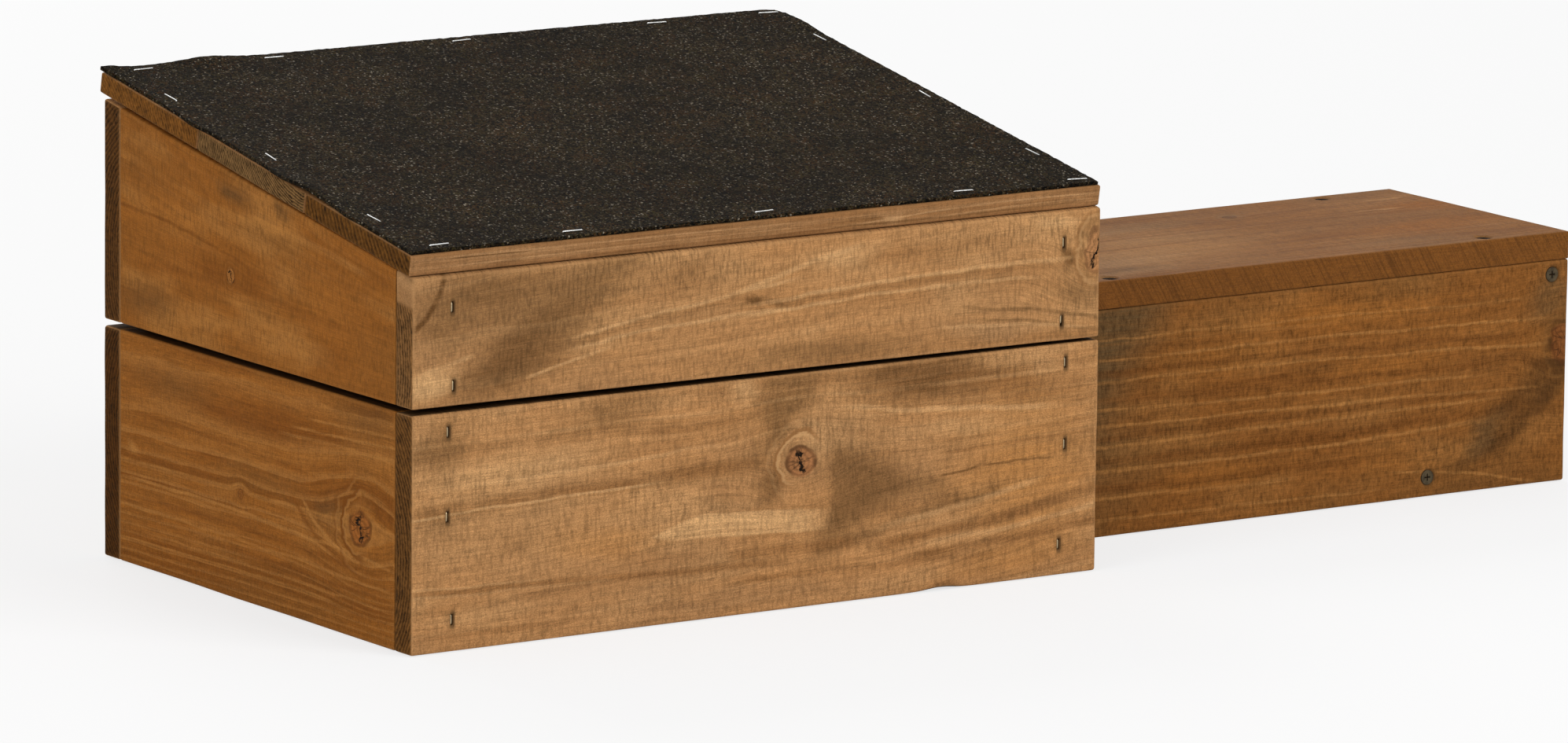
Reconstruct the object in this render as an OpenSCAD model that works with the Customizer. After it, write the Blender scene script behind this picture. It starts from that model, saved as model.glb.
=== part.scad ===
// Small timber shelter with a sloping, felted lid and an entrance tunnel at its right end.
// Millimetres, with X along the front, Y to the back and Z up.
// The origin is under the middle of the whole object, on the ground.

/* [Walls] */
// Width of the house across its front
house_w = 400; // [340:1:520]
// Depth of the house from front face to back face
house_d = 285; // [250:1:360]
// Height of the front wall at its outer face
front_h = 182; // [170:1:220]
// Thickness of the wall boards
wall_t = 15; // [12:0.5:18]
// Height of the boards in the lower row and the tunnel's walls
lower_h = 116; // [104:1:128]
// Open slot between the lower and the upper boards
slot_h = 3; // [1:0.5:6]
// Side of the square corner posts
post_s = 20; // [18:1:26]
// Drop from the wall top to the top of a post
post_drop = 8; // [5:1:14]

/* [Roof] */
// Slope of the roof in degrees
pitch = 9.8; // [6:0.1:14]
// Thickness of the roof boards
roof_t = 10.5; // [9:0.5:16]
// Width of the front roof board along the slope
front_roof_w = 96; // [80:1:110]
// Width of the back roof board along the slope
back_roof_w = 93; // [80:1:110]
// Open joint between neighbouring roof boards
roof_joint = 0.4; // [0.2:0.1:1.5]
// Distance from the front face back to the lower front edge of the roof
roof_setback = 2; // [0:0.5:6]
// Overhang of the roof past the back wall
roof_over_back = 2.7; // [1:0.1:6]
// Overhang of the roof past the left wall
roof_over_left = 1; // [0:0.5:5]
// Clearance of the closed roof over the front wall
rest_gap = 0.3; // [0.2:0.1:1]

/* [Roof cleats] */
// Width of a cleat under the roof boards
cleat_w = 20; // [15:1:30]
// Thickness of a cleat
cleat_t = 15; // [13:0.5:18]
// Distance from a side wall to the near side of a cleat
cleat_inset = 45; // [30:1:80]
// Room between the end of a cleat and the wall
cleat_room = 12; // [6:1:25]

/* [Felt] */
// Thickness of the roofing felt
felt_t = 1.8; // [1:0.1:3]
// Strip of board left bare at the left end of the roof
felt_bare_left = 3; // [0.5:0.5:6]
// Strip of board left bare along the other edges
felt_bare = 0.5; // [0.2:0.1:3]

/* [Tunnel] */
// Length of the tunnel outside the house
tunnel_l = 345; // [260:1:450]
// Outside width of the tunnel
tunnel_w = 153; // [130:1:180]
// Thickness of the tunnel walls
tunnel_wall_t = 15; // [12:0.5:18]
// Thickness of the board on top of the tunnel
tunnel_top_t = 14.5; // [11:0.5:18]
// Depth of the header at the mouth, along the tunnel
header_l = 20; // [14:1:28]
// Height of the header at the mouth
header_h = 15; // [12:1:22]
// Depth of the tie on the ground, along the tunnel
tie_l = 15; // [12:1:24]
// Height of the tie on the ground
tie_h = 20; // [14:1:26]
// Distance from the mouth to the middle of the tie
tie_from_mouth = 88; // [60:1:130]

/* [Hinges] */
// Length of a hinge
hinge_l = 40; // [30:1:60]
// Distance from the end of the house to the outer end of a hinge
hinge_inset = 60; // [45:1:90]
// Thickness of a hinge leaf
leaf_t = 1; // [0.8:0.1:1.6]
// Gap between the two folded leaves
fold_gap = 0.3; // [0.2:0.1:0.6]
// Strip of the back wall's top left bare in front of a leaf
leaf_bare = 1; // [0.5:0.5:3]
// Outside diameter of the hinge knuckles
knuckle_d = 4.4; // [4:0.1:6]
// Length of each outer knuckle
outer_knuckle_l = 10; // [7:1:14]
// Running gap between the knuckles and around them
knuckle_gap = 0.3; // [0.2:0.1:0.6]
// Diameter of a hinge pin
pin_d = 2.4; // [1.8:0.1:2.8]
// Radial clearance of a pin in its knuckles
pin_fit = 0.05; // [0.02:0.01:0.1]
// Thickness of the riveted head at each end of a pin
pin_head_t = 0.8; // [0.5:0.1:1.5]
// Distance from the end of a leaf to its screws
leaf_hole_edge = 9; // [6:0.5:12]

/* [Staples] */
// Width of the crown of a wall staple
staple_crown = 5.5; // [4:0.5:8]
// Leg length of a wall staple
staple_leg = 28; // [22:1:31]
// Leg length of a cleat staple
cleat_leg = 21; // [18:0.5:22]
// Thickness of the staple wire
wire = 1.1; // [0.8:0.1:1.4]
// Depth of a driven crown below the board's face
staple_sink = 0.6; // [0.2:0.1:1.2]
// Distance from the outer side of a post to its wall staples
staple_in = 6.6; // [4:0.2:10]
// Height of the lowest wall staple
staple_low = 15.5; // [8:0.5:25]
// Lift of the middle staple above halfway
staple_mid_lift = 4.5; // [0:0.5:10]
// Distance of the third wall staple below the top of the lower board
staple_lower_edge = 9.5; // [6:0.5:15]
// Distance of the fourth wall staple above the bottom of the upper board
staple_upper_edge = 9.6; // [6:0.2:14]
// Distance of the top staple below the top of the post
staple_post_edge = 10; // [6:0.5:14]
// Offset of the staples inside the posts from those in the front and back walls
staple_shift = 8; // [7:0.5:10]
// Distance from the end of a cleat or board to its staples
cleat_staple_edge = 18; // [10:1:25]
// Width of the crown of a felt staple
felt_crown = 11.5; // [8:0.5:14]
// Leg length of a felt staple
felt_leg = 8; // [6:0.5:10]
// Thickness of the felt staple's wire
felt_wire = 0.8; // [0.6:0.1:1.1]
// Distance from the roof's edge to the felt staples
felt_staple_edge = 7; // [5:0.5:12]
// Distance from the ends of the roof to the first felt staples
felt_staple_end = 20; // [14:1:30]
// Distance from the front and back edges to the felt staples at the sides
felt_staple_side = 50; // [40:1:70]

/* [Screws] */
// Diameter of the tunnel screws
screw_d = 4; // [3:0.5:5]
// Head diameter of the tunnel screws
screw_head_d = 7.6; // [7:0.2:9]
// Length of the tunnel screws
screw_l = 35; // [28:1:45]
// Length of the screws that hold the tunnel to the house
fixing_l = 40; // [30:1:50]
// Depth of a tunnel screw's head below the face
screw_sink = 0.8; // [0.2:0.1:1.5]
// Distance from the house to the near screws of the tunnel's top
top_screw_house = 59; // [45:1:80]
// Distance from the tunnel's mouth to its other screws
top_screw_mouth = 50; // [30:1:70]
// Height of the lower screws that hold the tunnel to the house
fixing_low = 30; // [15:1:45]
// Distance of the upper ones below the top of the lower boards
fixing_edge = 26; // [15:1:40]
// Diameter of the hinge screws
hinge_screw_d = 2.5; // [2:0.1:3]
// Head diameter of the hinge screws
hinge_head_d = 4.6; // [4:0.1:5.4]
// Length of the hinge screws in the back wall
wall_screw_l = 15; // [12:1:20]
// Length of the hinge screws in the roof
roof_screw_l = 9; // [7:0.5:10]
// Width of a wing of the cross recess
cross_w = 0.7; // [0.5:0.1:1]
// Clearance around every driven staple and screw
drive_fit = 0.05; // [0.02:0.01:0.1]

/* [Hidden] */
$fn = 48;
// Rim of a screw head and the reach of a cutter past a face
rim = 0.4;
reach = 1;

// Levels and lines of the walls
upper_z = lower_h + slot_h;
hinge_stack = 2 * leaf_t + fold_gap;
roof_z0 = front_h + rest_gap / cos(pitch);
back_h = roof_z0 + house_d * tan(pitch) - hinge_stack / cos(pitch);
side_rise = (back_h - front_h) / house_d;
front_post_top = side_z(wall_t) - post_drop;
back_post_top = side_z(house_d - wall_t - post_s) - post_drop;

// Height of a side wall's top at depth y
function side_z(y) = front_h + y * side_rise;

// Roof outline, with u along the slope and n square to it, from the roof's underside at the front face
roof_u0 = roof_setback / cos(pitch);
roof_u1 = (house_d + roof_over_back) / cos(pitch);
roof_w = house_w + roof_over_left;
front_joint_u = roof_u0 + front_roof_w;
back_joint_u = roof_u1 - back_roof_w;
roof_rows = [
  [roof_u0, front_joint_u],
  [front_joint_u + roof_joint, back_joint_u - roof_joint],
  [back_joint_u, roof_u1]
];
cleat_u0 = (wall_t + cleat_room) / cos(pitch);
cleat_u1 = (house_d - wall_t - cleat_room) / cos(pitch);
left_cleat_x = wall_t + cleat_inset;
right_cleat_x = house_w - wall_t - cleat_inset - cleat_w;

// Hinge axis behind the roof's back edge, halfway between the folded leaves
knuckle_r = knuckle_d / 2;
hinge_u = roof_u1 + knuckle_r + knuckle_gap;
hinge_n = -hinge_stack / 2;
hinge_y = hinge_u * cos(pitch) - hinge_n * sin(pitch);
hinge_z = roof_z0 + hinge_u * sin(pitch) + hinge_n * cos(pitch);
leaf_l = hinge_u - (house_d - wall_t) / cos(pitch) - leaf_bare;
leaf_hole = hinge_u - (house_d - wall_t / 2) / cos(pitch);
left_hinge_x = hinge_inset;
right_hinge_x = house_w - hinge_inset - hinge_l;
outer_knuckles = [[0, outer_knuckle_l], [hinge_l - outer_knuckle_l, hinge_l]];
middle_knuckle = [[outer_knuckle_l + knuckle_gap, hinge_l - outer_knuckle_l - knuckle_gap]];

// Tunnel, square to the house and in the middle of its depth, with walls as high as the lower boards
tunnel_wall_h = lower_h;
tunnel_x1 = house_w + tunnel_l;
tunnel_y0 = (house_d - tunnel_w) / 2;
tunnel_y1 = tunnel_y0 + tunnel_w;
tie_x = tunnel_x1 - tie_from_mouth;
header_x = tunnel_x1 - header_l / 2;

// Sideways scatter of five hand-driven wall staples, from the bottom up
stagger = [1.3, -1.6, -1.3, 1.5, 0.7];
// Sideways scatter of five hand-driven felt staples in a row, and their tilt
row_drift = [0, -15, 5, 32, 10];
row_tilt = [2, -1, 3, -3, -6];
side_tilt = [4, -3, 2];

// Middle of the whole object, which the origin lies under
x_mid = (tunnel_x1 - roof_over_left) / 2;
y_mid = (hinge_y + knuckle_r) / 2;

// Places

// From the house's own corner to the origin under the middle
module placed() {
  translate([-x_mid, -y_mid, 0]) children();
}

// From the roof's own frame to the house's corner
module on_roof() {
  translate([0, 0, roof_z0]) rotate([pitch, 0, 0]) children();
}

// A profile in Y and Z carried w along X from x
module along_x(x, w) {
  translate([x, 0, 0]) rotate([90, 0, 90]) linear_extrude(w) children();
}

// Fasteners

// Staple with its crown along X, the crown's top at z = 0 and the legs down
module staple(crown, leg, w) {
  translate([-crown / 2, -w / 2, -w]) cube([crown, w, w]);
  for (x = [-crown / 2, crown / 2 - w]) {
    translate([x, -w / 2, -leg]) cube([w, w, leg]);
  }
}

// Slot that a staple sits in, open above its crown
module staple_slot(crown, leg, w) {
  g = drive_fit;
  mouth = w + g + reach + staple_sink;
  translate([-crown / 2 - g, -w / 2 - g, -w - g]) cube([crown + 2 * g, w + 2 * g, mouth]);
  for (x = [-crown / 2, crown / 2 - w]) {
    translate([x - g, -w / 2 - g, -leg - g]) cube([w + 2 * g, w + 2 * g, leg]);
  }
}

// A wall staple or its slot
module wall_staple(cut) {
  translate([0, 0, -staple_sink]) {
    if (cut) staple_slot(staple_crown, staple_leg, wire);
    else staple(staple_crown, staple_leg, wire);
  }
}

// Countersunk screw with the top of its head at z = 0 and a cross recess
module screw(d, head_d, l) {
  cone = (head_d - d) / 2;
  wing = head_d / 2;
  difference() {
    rotate_extrude() {
      polygon([[0, 0], [head_d / 2, 0], [head_d / 2, -rim], [d / 2, -rim - cone], [d / 2, -l + d], [0, -l]]);
    }
    for (a = [0, 90]) {
      rotate([0, 0, a]) translate([-wing / 2, -cross_w / 2, -cone]) cube([wing, cross_w, cone + reach]);
    }
  }
}

// Hole that a screw sits in, open above its head
module screw_hole(d, head_d, l) {
  g = drive_fit;
  cone = (head_d - d) / 2;
  rotate_extrude() {
    polygon([
      [0, reach + screw_sink], [head_d / 2 + g, reach + screw_sink], [head_d / 2 + g, -rim],
      [d / 2 + g, -rim - cone], [d / 2 + g, -l + d], [0, -l - 2 * g]
    ]);
  }
}

// A tunnel screw of length l or its hole
module tunnel_screw(l, cut) {
  translate([0, 0, -screw_sink]) {
    if (cut) screw_hole(screw_d, screw_head_d, l);
    else screw(screw_d, screw_head_d, l);
  }
}

// A hinge screw of length l or its hole
module hinge_screw(l, cut) {
  if (cut) screw_hole(hinge_screw_d, hinge_head_d, l);
  else screw(hinge_screw_d, hinge_head_d, l);
}

// Heights of one column of wall staples, from the bottom up
function column_z(post_top) = [
  staple_low,
  (staple_low + lower_h - staple_lower_edge) / 2 + staple_mid_lift,
  lower_h - staple_lower_edge,
  upper_z + staple_upper_edge,
  post_top - staple_post_edge
];

// Heights of the staples inside one post, clear of those from outside
function inner_column_z(post_top) = [
  staple_low + staple_shift,
  lower_h - staple_lower_edge - staple_shift,
  upper_z + staple_upper_edge + staple_shift,
  post_top - staple_post_edge - staple_shift
];

// Staples through the front or the back boards into the posts
module outer_columns(y, turn, post_top, cut) {
  levels = column_z(post_top);
  for (i = [0:len(levels) - 1]) {
    in = wall_t + staple_in + stagger[i];
    for (x = [in, house_w - in]) {
      translate([x, y, levels[i]]) rotate([turn, 0, 0]) rotate([0, 0, 90]) wall_staple(cut);
    }
  }
}

module front_columns(cut = false) {
  outer_columns(0, 90, front_post_top, cut);
}

module back_columns(cut = false) {
  outer_columns(house_d, -90, back_post_top, cut);
}

// Staples from inside, through the posts at depth y into the side boards
module inner_columns(y, post_top, cut) {
  for (z = inner_column_z(post_top)) {
    translate([wall_t + post_s, y, z]) rotate([0, 90, 0]) wall_staple(cut);
    translate([house_w - wall_t - post_s, y, z]) rotate([0, -90, 0]) wall_staple(cut);
  }
}

module side_columns(cut = false) {
  inner_columns(wall_t + post_s / 2, front_post_top, cut);
  inner_columns(house_d - wall_t - post_s / 2, back_post_top, cut);
}

// Staples from below, through the cleats into each roof board, in the roof's frame
module cleat_rows(cut = false) {
  for (x = [left_cleat_x, right_cleat_x], row = roof_rows) {
    first = max(row[0], cleat_u0) + cleat_staple_edge;
    last = min(row[1], cleat_u1) - cleat_staple_edge;
    for (u = [first, last]) {
      translate([x + cleat_w / 2, u, staple_sink - cleat_t]) rotate([180, 0, 0]) {
        if (cut) staple_slot(staple_crown, cleat_leg, wire);
        else staple(staple_crown, cleat_leg, wire);
      }
    }
  }
}

// One felt staple at x, u in the roof's frame, with its crown on the felt
module felt_staple(x, u, turn, cut) {
  translate([x, u, roof_t + felt_t + felt_wire]) rotate([0, 0, turn]) {
    if (cut) staple_slot(felt_crown, felt_leg, felt_wire);
    else staple(felt_crown, felt_leg, felt_wire);
  }
}

// Staples along all four edges of the felt, in the roof's frame
module felt_rows(cut = false) {
  x0 = -roof_over_left;
  pace = (roof_w - 2 * felt_staple_end) / (len(row_drift) - 1);
  for (i = [0:len(row_drift) - 1], u = [roof_u0 + felt_staple_edge, roof_u1 - felt_staple_edge]) {
    felt_staple(x0 + felt_staple_end + pace * i + row_drift[i], u, row_tilt[i], cut);
  }
  side_pace = (roof_u1 - roof_u0 - 2 * felt_staple_side) / (len(side_tilt) - 1);
  for (i = [0:len(side_tilt) - 1], x = [x0 + felt_bare_left + felt_staple_edge, house_w - felt_staple_edge]) {
    felt_staple(x, roof_u0 + felt_staple_side + side_pace * i, 90 + side_tilt[i], cut);
  }
}

// Screws through the tunnel's top into its walls
module top_screws(cut = false) {
  for (x = [house_w + top_screw_house, tunnel_x1 - top_screw_mouth]) {
    for (y = [tunnel_y0 + tunnel_wall_t / 2, tunnel_y1 - tunnel_wall_t / 2]) {
      translate([x, y, tunnel_wall_h + tunnel_top_t]) tunnel_screw(screw_l, cut);
    }
  }
}

// Screws through the tunnel's walls into the header and the tie
module wall_screws(cut = false) {
  for (p = [[header_x, tunnel_wall_h - header_h / 2], [tie_x, tie_h / 2]]) {
    translate([p[0], tunnel_y0, p[1]]) rotate([90, 0, 0]) tunnel_screw(screw_l, cut);
    translate([p[0], tunnel_y1, p[1]]) rotate([-90, 0, 0]) tunnel_screw(screw_l, cut);
  }
}

// Screws from inside the house, through the stub boards into the ends of the tunnel's walls
module fixing_screws(cut = false) {
  for (y = [tunnel_y0 + tunnel_wall_t / 2, tunnel_y1 - tunnel_wall_t / 2]) {
    for (z = [fixing_low, lower_h - fixing_edge]) {
      translate([house_w - wall_t, y, z]) rotate([0, -90, 0]) tunnel_screw(fixing_l, cut);
    }
  }
}

// Places of the hinge screws, in the roof's frame at height n
module hinge_screw_places(n) {
  for (x = [left_hinge_x, right_hinge_x], dx = [leaf_hole_edge, hinge_l - leaf_hole_edge]) {
    translate([x + dx, hinge_u - leaf_hole, n]) children();
  }
}

// Screws down through the wall leaves into the back wall
module leaf_wall_screws(cut = false) {
  hinge_screw_places(leaf_t - hinge_stack) hinge_screw(wall_screw_l, cut);
}

// Screws up through the roof leaves into the back roof board
module leaf_roof_screws(cut = false) {
  hinge_screw_places(-leaf_t) rotate([180, 0, 0]) hinge_screw(roof_screw_l, cut);
}

// Walls

// Front and back boards run the whole width, with the top edges cut parallel to the roof
module front_lower_board() {
  placed() color("peru") difference() {
    cube([house_w, wall_t, lower_h]);
    front_columns(cut = true);
  }
}

module front_upper_board() {
  inner_top = front_h + wall_t * tan(pitch);
  placed() color("peru") difference() {
    along_x(0, house_w) polygon([[0, upper_z], [wall_t, upper_z], [wall_t, inner_top], [0, front_h]]);
    front_columns(cut = true);
  }
}

module back_lower_board() {
  placed() color("peru") difference() {
    translate([0, house_d - wall_t, 0]) cube([house_w, wall_t, lower_h]);
    back_columns(cut = true);
  }
}

module back_upper_board() {
  y = house_d - wall_t;
  inner_top = back_h - wall_t * tan(pitch);
  placed() color("peru") difference() {
    along_x(0, house_w) polygon([[y, upper_z], [house_d, upper_z], [house_d, back_h], [y, inner_top]]);
    back_columns(cut = true);
    on_roof() leaf_wall_screws(cut = true);
  }
}

// Upper side board with a sloping top, between the front and back boards
module side_upper_board(x) {
  y0 = wall_t;
  y1 = house_d - wall_t;
  placed() color("chocolate") difference() {
    along_x(x, wall_t) polygon([[y0, upper_z], [y1, upper_z], [y1, side_z(y1)], [y0, side_z(y0)]]);
    side_columns(cut = true);
  }
}

module left_upper_board() {
  side_upper_board(0);
}

module right_upper_board() {
  side_upper_board(house_w - wall_t);
}

module left_lower_board() {
  placed() color("chocolate") difference() {
    translate([0, wall_t, 0]) cube([wall_t, house_d - 2 * wall_t, lower_h]);
    side_columns(cut = true);
  }
}

// Lower board beside the inner entrance, from y0 to y1
module stub_board(y0, y1) {
  placed() color("chocolate") difference() {
    translate([house_w - wall_t, y0, 0]) cube([wall_t, y1 - y0, lower_h]);
    side_columns(cut = true);
    fixing_screws(cut = true);
  }
}

module right_front_stub_board() {
  stub_board(wall_t, tunnel_y0 + tunnel_wall_t);
}

module right_back_stub_board() {
  stub_board(tunnel_y1 - tunnel_wall_t, house_d - wall_t);
}

// Square post in a corner of the house
module post(x, y, top) {
  placed() color("sienna") difference() {
    translate([x, y, 0]) cube([post_s, post_s, top]);
    front_columns(cut = true);
    back_columns(cut = true);
    side_columns(cut = true);
  }
}

module front_left_post() {
  post(wall_t, wall_t, front_post_top);
}

module front_right_post() {
  post(house_w - wall_t - post_s, wall_t, front_post_top);
}

module back_left_post() {
  post(wall_t, house_d - wall_t - post_s, back_post_top);
}

module back_right_post() {
  post(house_w - wall_t - post_s, house_d - wall_t - post_s, back_post_top);
}

module front_wall_staples() {
  placed() color("darkgoldenrod") front_columns();
}

module back_wall_staples() {
  placed() color("darkgoldenrod") back_columns();
}

module side_wall_staples() {
  placed() color("darkgoldenrod") side_columns();
}

// Tunnel

module tunnel_wall(y) {
  placed() color("sienna") difference() {
    translate([house_w, y, 0]) cube([tunnel_l, tunnel_wall_t, tunnel_wall_h]);
    top_screws(cut = true);
    wall_screws(cut = true);
    fixing_screws(cut = true);
  }
}

module tunnel_front_wall() {
  tunnel_wall(tunnel_y0);
}

module tunnel_back_wall() {
  tunnel_wall(tunnel_y1 - tunnel_wall_t);
}

module tunnel_top_board() {
  placed() color("sienna") difference() {
    translate([house_w, tunnel_y0, tunnel_wall_h]) cube([tunnel_l, tunnel_w, tunnel_top_t]);
    top_screws(cut = true);
  }
}

// Batten from wall to wall inside the tunnel, centred on x
module tunnel_batten(x, l, z, h) {
  placed() color("saddlebrown") difference() {
    translate([x - l / 2, tunnel_y0 + tunnel_wall_t, z]) cube([l, tunnel_w - 2 * tunnel_wall_t, h]);
    wall_screws(cut = true);
  }
}

module tunnel_mouth_header() {
  tunnel_batten(header_x, header_l, tunnel_wall_h - header_h, header_h);
}

module tunnel_tie() {
  tunnel_batten(tie_x, tie_l, 0, tie_h);
}

module tunnel_top_screws() {
  placed() color("dimgray") top_screws();
}

module tunnel_wall_screws() {
  placed() color("silver") wall_screws();
}

module tunnel_fixing_screws() {
  placed() color("silver") fixing_screws();
}

// Hinges

// Knuckles along the hinge's axis, each widened by gap
module knuckles(spans, gap) {
  for (s = spans) {
    translate([s[0] - gap, 0, 0]) rotate([0, 90, 0]) cylinder(r = knuckle_r + gap, h = s[1] - s[0] + 2 * gap);
  }
}

// Leaf on the hinge's axis, with its plate from height n, its own knuckles and room for the other leaf's
module hinge_leaf(x, n, own, others) {
  translate([x, hinge_u, hinge_n]) difference() {
    union() {
      translate([0, -leaf_l, n]) cube([hinge_l, leaf_l, leaf_t]);
      knuckles(own, 0);
    }
    knuckles(others, knuckle_gap);
    translate([-reach, 0, 0]) rotate([0, 90, 0]) cylinder(d = pin_d + 2 * pin_fit, h = hinge_l + 2 * reach);
  }
}

module wall_leaf(x) {
  placed() color("silver") on_roof() difference() {
    hinge_leaf(x, -hinge_stack / 2, outer_knuckles, middle_knuckle);
    leaf_wall_screws(cut = true);
  }
}

module roof_leaf(x) {
  placed() color("silver") on_roof() difference() {
    hinge_leaf(x, hinge_stack / 2 - leaf_t, middle_knuckle, outer_knuckles);
    leaf_roof_screws(cut = true);
  }
}

module left_hinge_wall_leaf() {
  wall_leaf(left_hinge_x);
}

module right_hinge_wall_leaf() {
  wall_leaf(right_hinge_x);
}

module left_hinge_roof_leaf() {
  roof_leaf(left_hinge_x);
}

module right_hinge_roof_leaf() {
  roof_leaf(right_hinge_x);
}

// Pin with a riveted head at each end
module hinge_pin(x) {
  head_at = drive_fit;
  placed() color("gray") on_roof() translate([x, hinge_u, hinge_n]) rotate([0, 90, 0]) {
    translate([0, 0, -head_at]) cylinder(d = pin_d, h = hinge_l + 2 * head_at);
    translate([0, 0, -head_at - pin_head_t]) cylinder(r = knuckle_r - pin_fit, h = pin_head_t);
    translate([0, 0, hinge_l + head_at]) cylinder(r = knuckle_r - pin_fit, h = pin_head_t);
  }
}

module left_hinge_pin() {
  hinge_pin(left_hinge_x);
}

module right_hinge_pin() {
  hinge_pin(right_hinge_x);
}

module hinge_wall_screws() {
  placed() color("silver") on_roof() leaf_wall_screws();
}

module hinge_roof_screws() {
  placed() color("silver") on_roof() leaf_roof_screws();
}

// Roof

// Roof board of row i, counted from the front
module roof_board(i) {
  u0 = roof_rows[i][0];
  u1 = roof_rows[i][1];
  placed() color("sienna") on_roof() difference() {
    translate([-roof_over_left, u0, 0]) cube([roof_w, u1 - u0, roof_t]);
    cleat_rows(cut = true);
    felt_rows(cut = true);
    leaf_roof_screws(cut = true);
  }
}

module roof_front_board() {
  roof_board(0);
}

module roof_middle_board() {
  roof_board(1);
}

module roof_back_board() {
  roof_board(2);
}

module roof_cleat(x) {
  placed() color("saddlebrown") on_roof() difference() {
    translate([x, cleat_u0, -cleat_t]) cube([cleat_w, cleat_u1 - cleat_u0, cleat_t]);
    cleat_rows(cut = true);
  }
}

module roof_left_cleat() {
  roof_cleat(left_cleat_x);
}

module roof_right_cleat() {
  roof_cleat(right_cleat_x);
}

module cleat_staples() {
  placed() color("darkgoldenrod") on_roof() cleat_rows();
}

module roof_felt() {
  x0 = felt_bare_left - roof_over_left;
  u0 = roof_u0 + felt_bare;
  placed() color("darkslategray") on_roof() difference() {
    translate([x0, u0, roof_t]) cube([house_w - felt_bare - x0, roof_u1 - felt_bare - u0, felt_t]);
    felt_rows(cut = true);
  }
}

module felt_staples() {
  placed() color("silver") on_roof() felt_rows();
}

front_lower_board();
front_upper_board();
back_lower_board();
back_upper_board();
left_lower_board();
left_upper_board();
right_upper_board();
right_front_stub_board();
right_back_stub_board();
front_left_post();
front_right_post();
back_left_post();
back_right_post();
front_wall_staples();
back_wall_staples();
side_wall_staples();
tunnel_front_wall();
tunnel_back_wall();
tunnel_top_board();
tunnel_mouth_header();
tunnel_tie();
tunnel_top_screws();
tunnel_wall_screws();
tunnel_fixing_screws();
left_hinge_wall_leaf();
right_hinge_wall_leaf();
left_hinge_pin();
right_hinge_pin();
hinge_wall_screws();
roof_front_board();
roof_middle_board();
roof_back_board();
roof_left_cleat();
roof_right_cleat();
cleat_staples();
roof_felt();
felt_staples();
left_hinge_roof_leaf();
right_hinge_roof_leaf();
hinge_roof_screws();
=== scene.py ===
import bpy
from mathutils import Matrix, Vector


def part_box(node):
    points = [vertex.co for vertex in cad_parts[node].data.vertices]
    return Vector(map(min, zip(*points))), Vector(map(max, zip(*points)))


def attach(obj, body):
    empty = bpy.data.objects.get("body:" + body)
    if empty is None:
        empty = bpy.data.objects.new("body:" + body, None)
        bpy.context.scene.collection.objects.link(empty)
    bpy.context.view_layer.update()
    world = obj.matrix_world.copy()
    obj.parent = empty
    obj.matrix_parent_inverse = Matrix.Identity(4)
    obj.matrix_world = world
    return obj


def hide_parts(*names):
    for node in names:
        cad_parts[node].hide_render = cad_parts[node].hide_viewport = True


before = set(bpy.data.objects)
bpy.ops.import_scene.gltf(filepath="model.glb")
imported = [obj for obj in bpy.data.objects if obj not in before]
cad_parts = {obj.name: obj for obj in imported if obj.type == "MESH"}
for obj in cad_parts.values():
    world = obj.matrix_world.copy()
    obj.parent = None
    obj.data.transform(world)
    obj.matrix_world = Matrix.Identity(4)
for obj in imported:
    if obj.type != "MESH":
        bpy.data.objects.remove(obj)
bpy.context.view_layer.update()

import math
import bpy
import numpy as np
from mathutils import Matrix, Vector

# The house in millimetres from its front left bottom corner: x right, y back, z up
house = {
    "width": 400, "depth": 285, "frontPostTop": 176.484, "backPostTop": 215.395,
    "pitch": 9.8, "roofLevel": 182.304, "roofThick": 10.5,
}
corner = np.array(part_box("front_lower_board")[0]) * 1000
right, back, up = np.eye(3)
pitch = math.radians(house["pitch"])
slope = np.array((0, math.cos(pitch), math.sin(pitch)))
square = np.array((0, -math.sin(pitch), math.cos(pitch)))
roofOrigin = np.array((0, 0, house["roofLevel"]))


# A point (x, u, n) of the roof, with u up the slope and n square to it
def onRoof(x, u, n):
    return roofOrigin + x * right + u * slope + n * square


# Shader nodes

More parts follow.
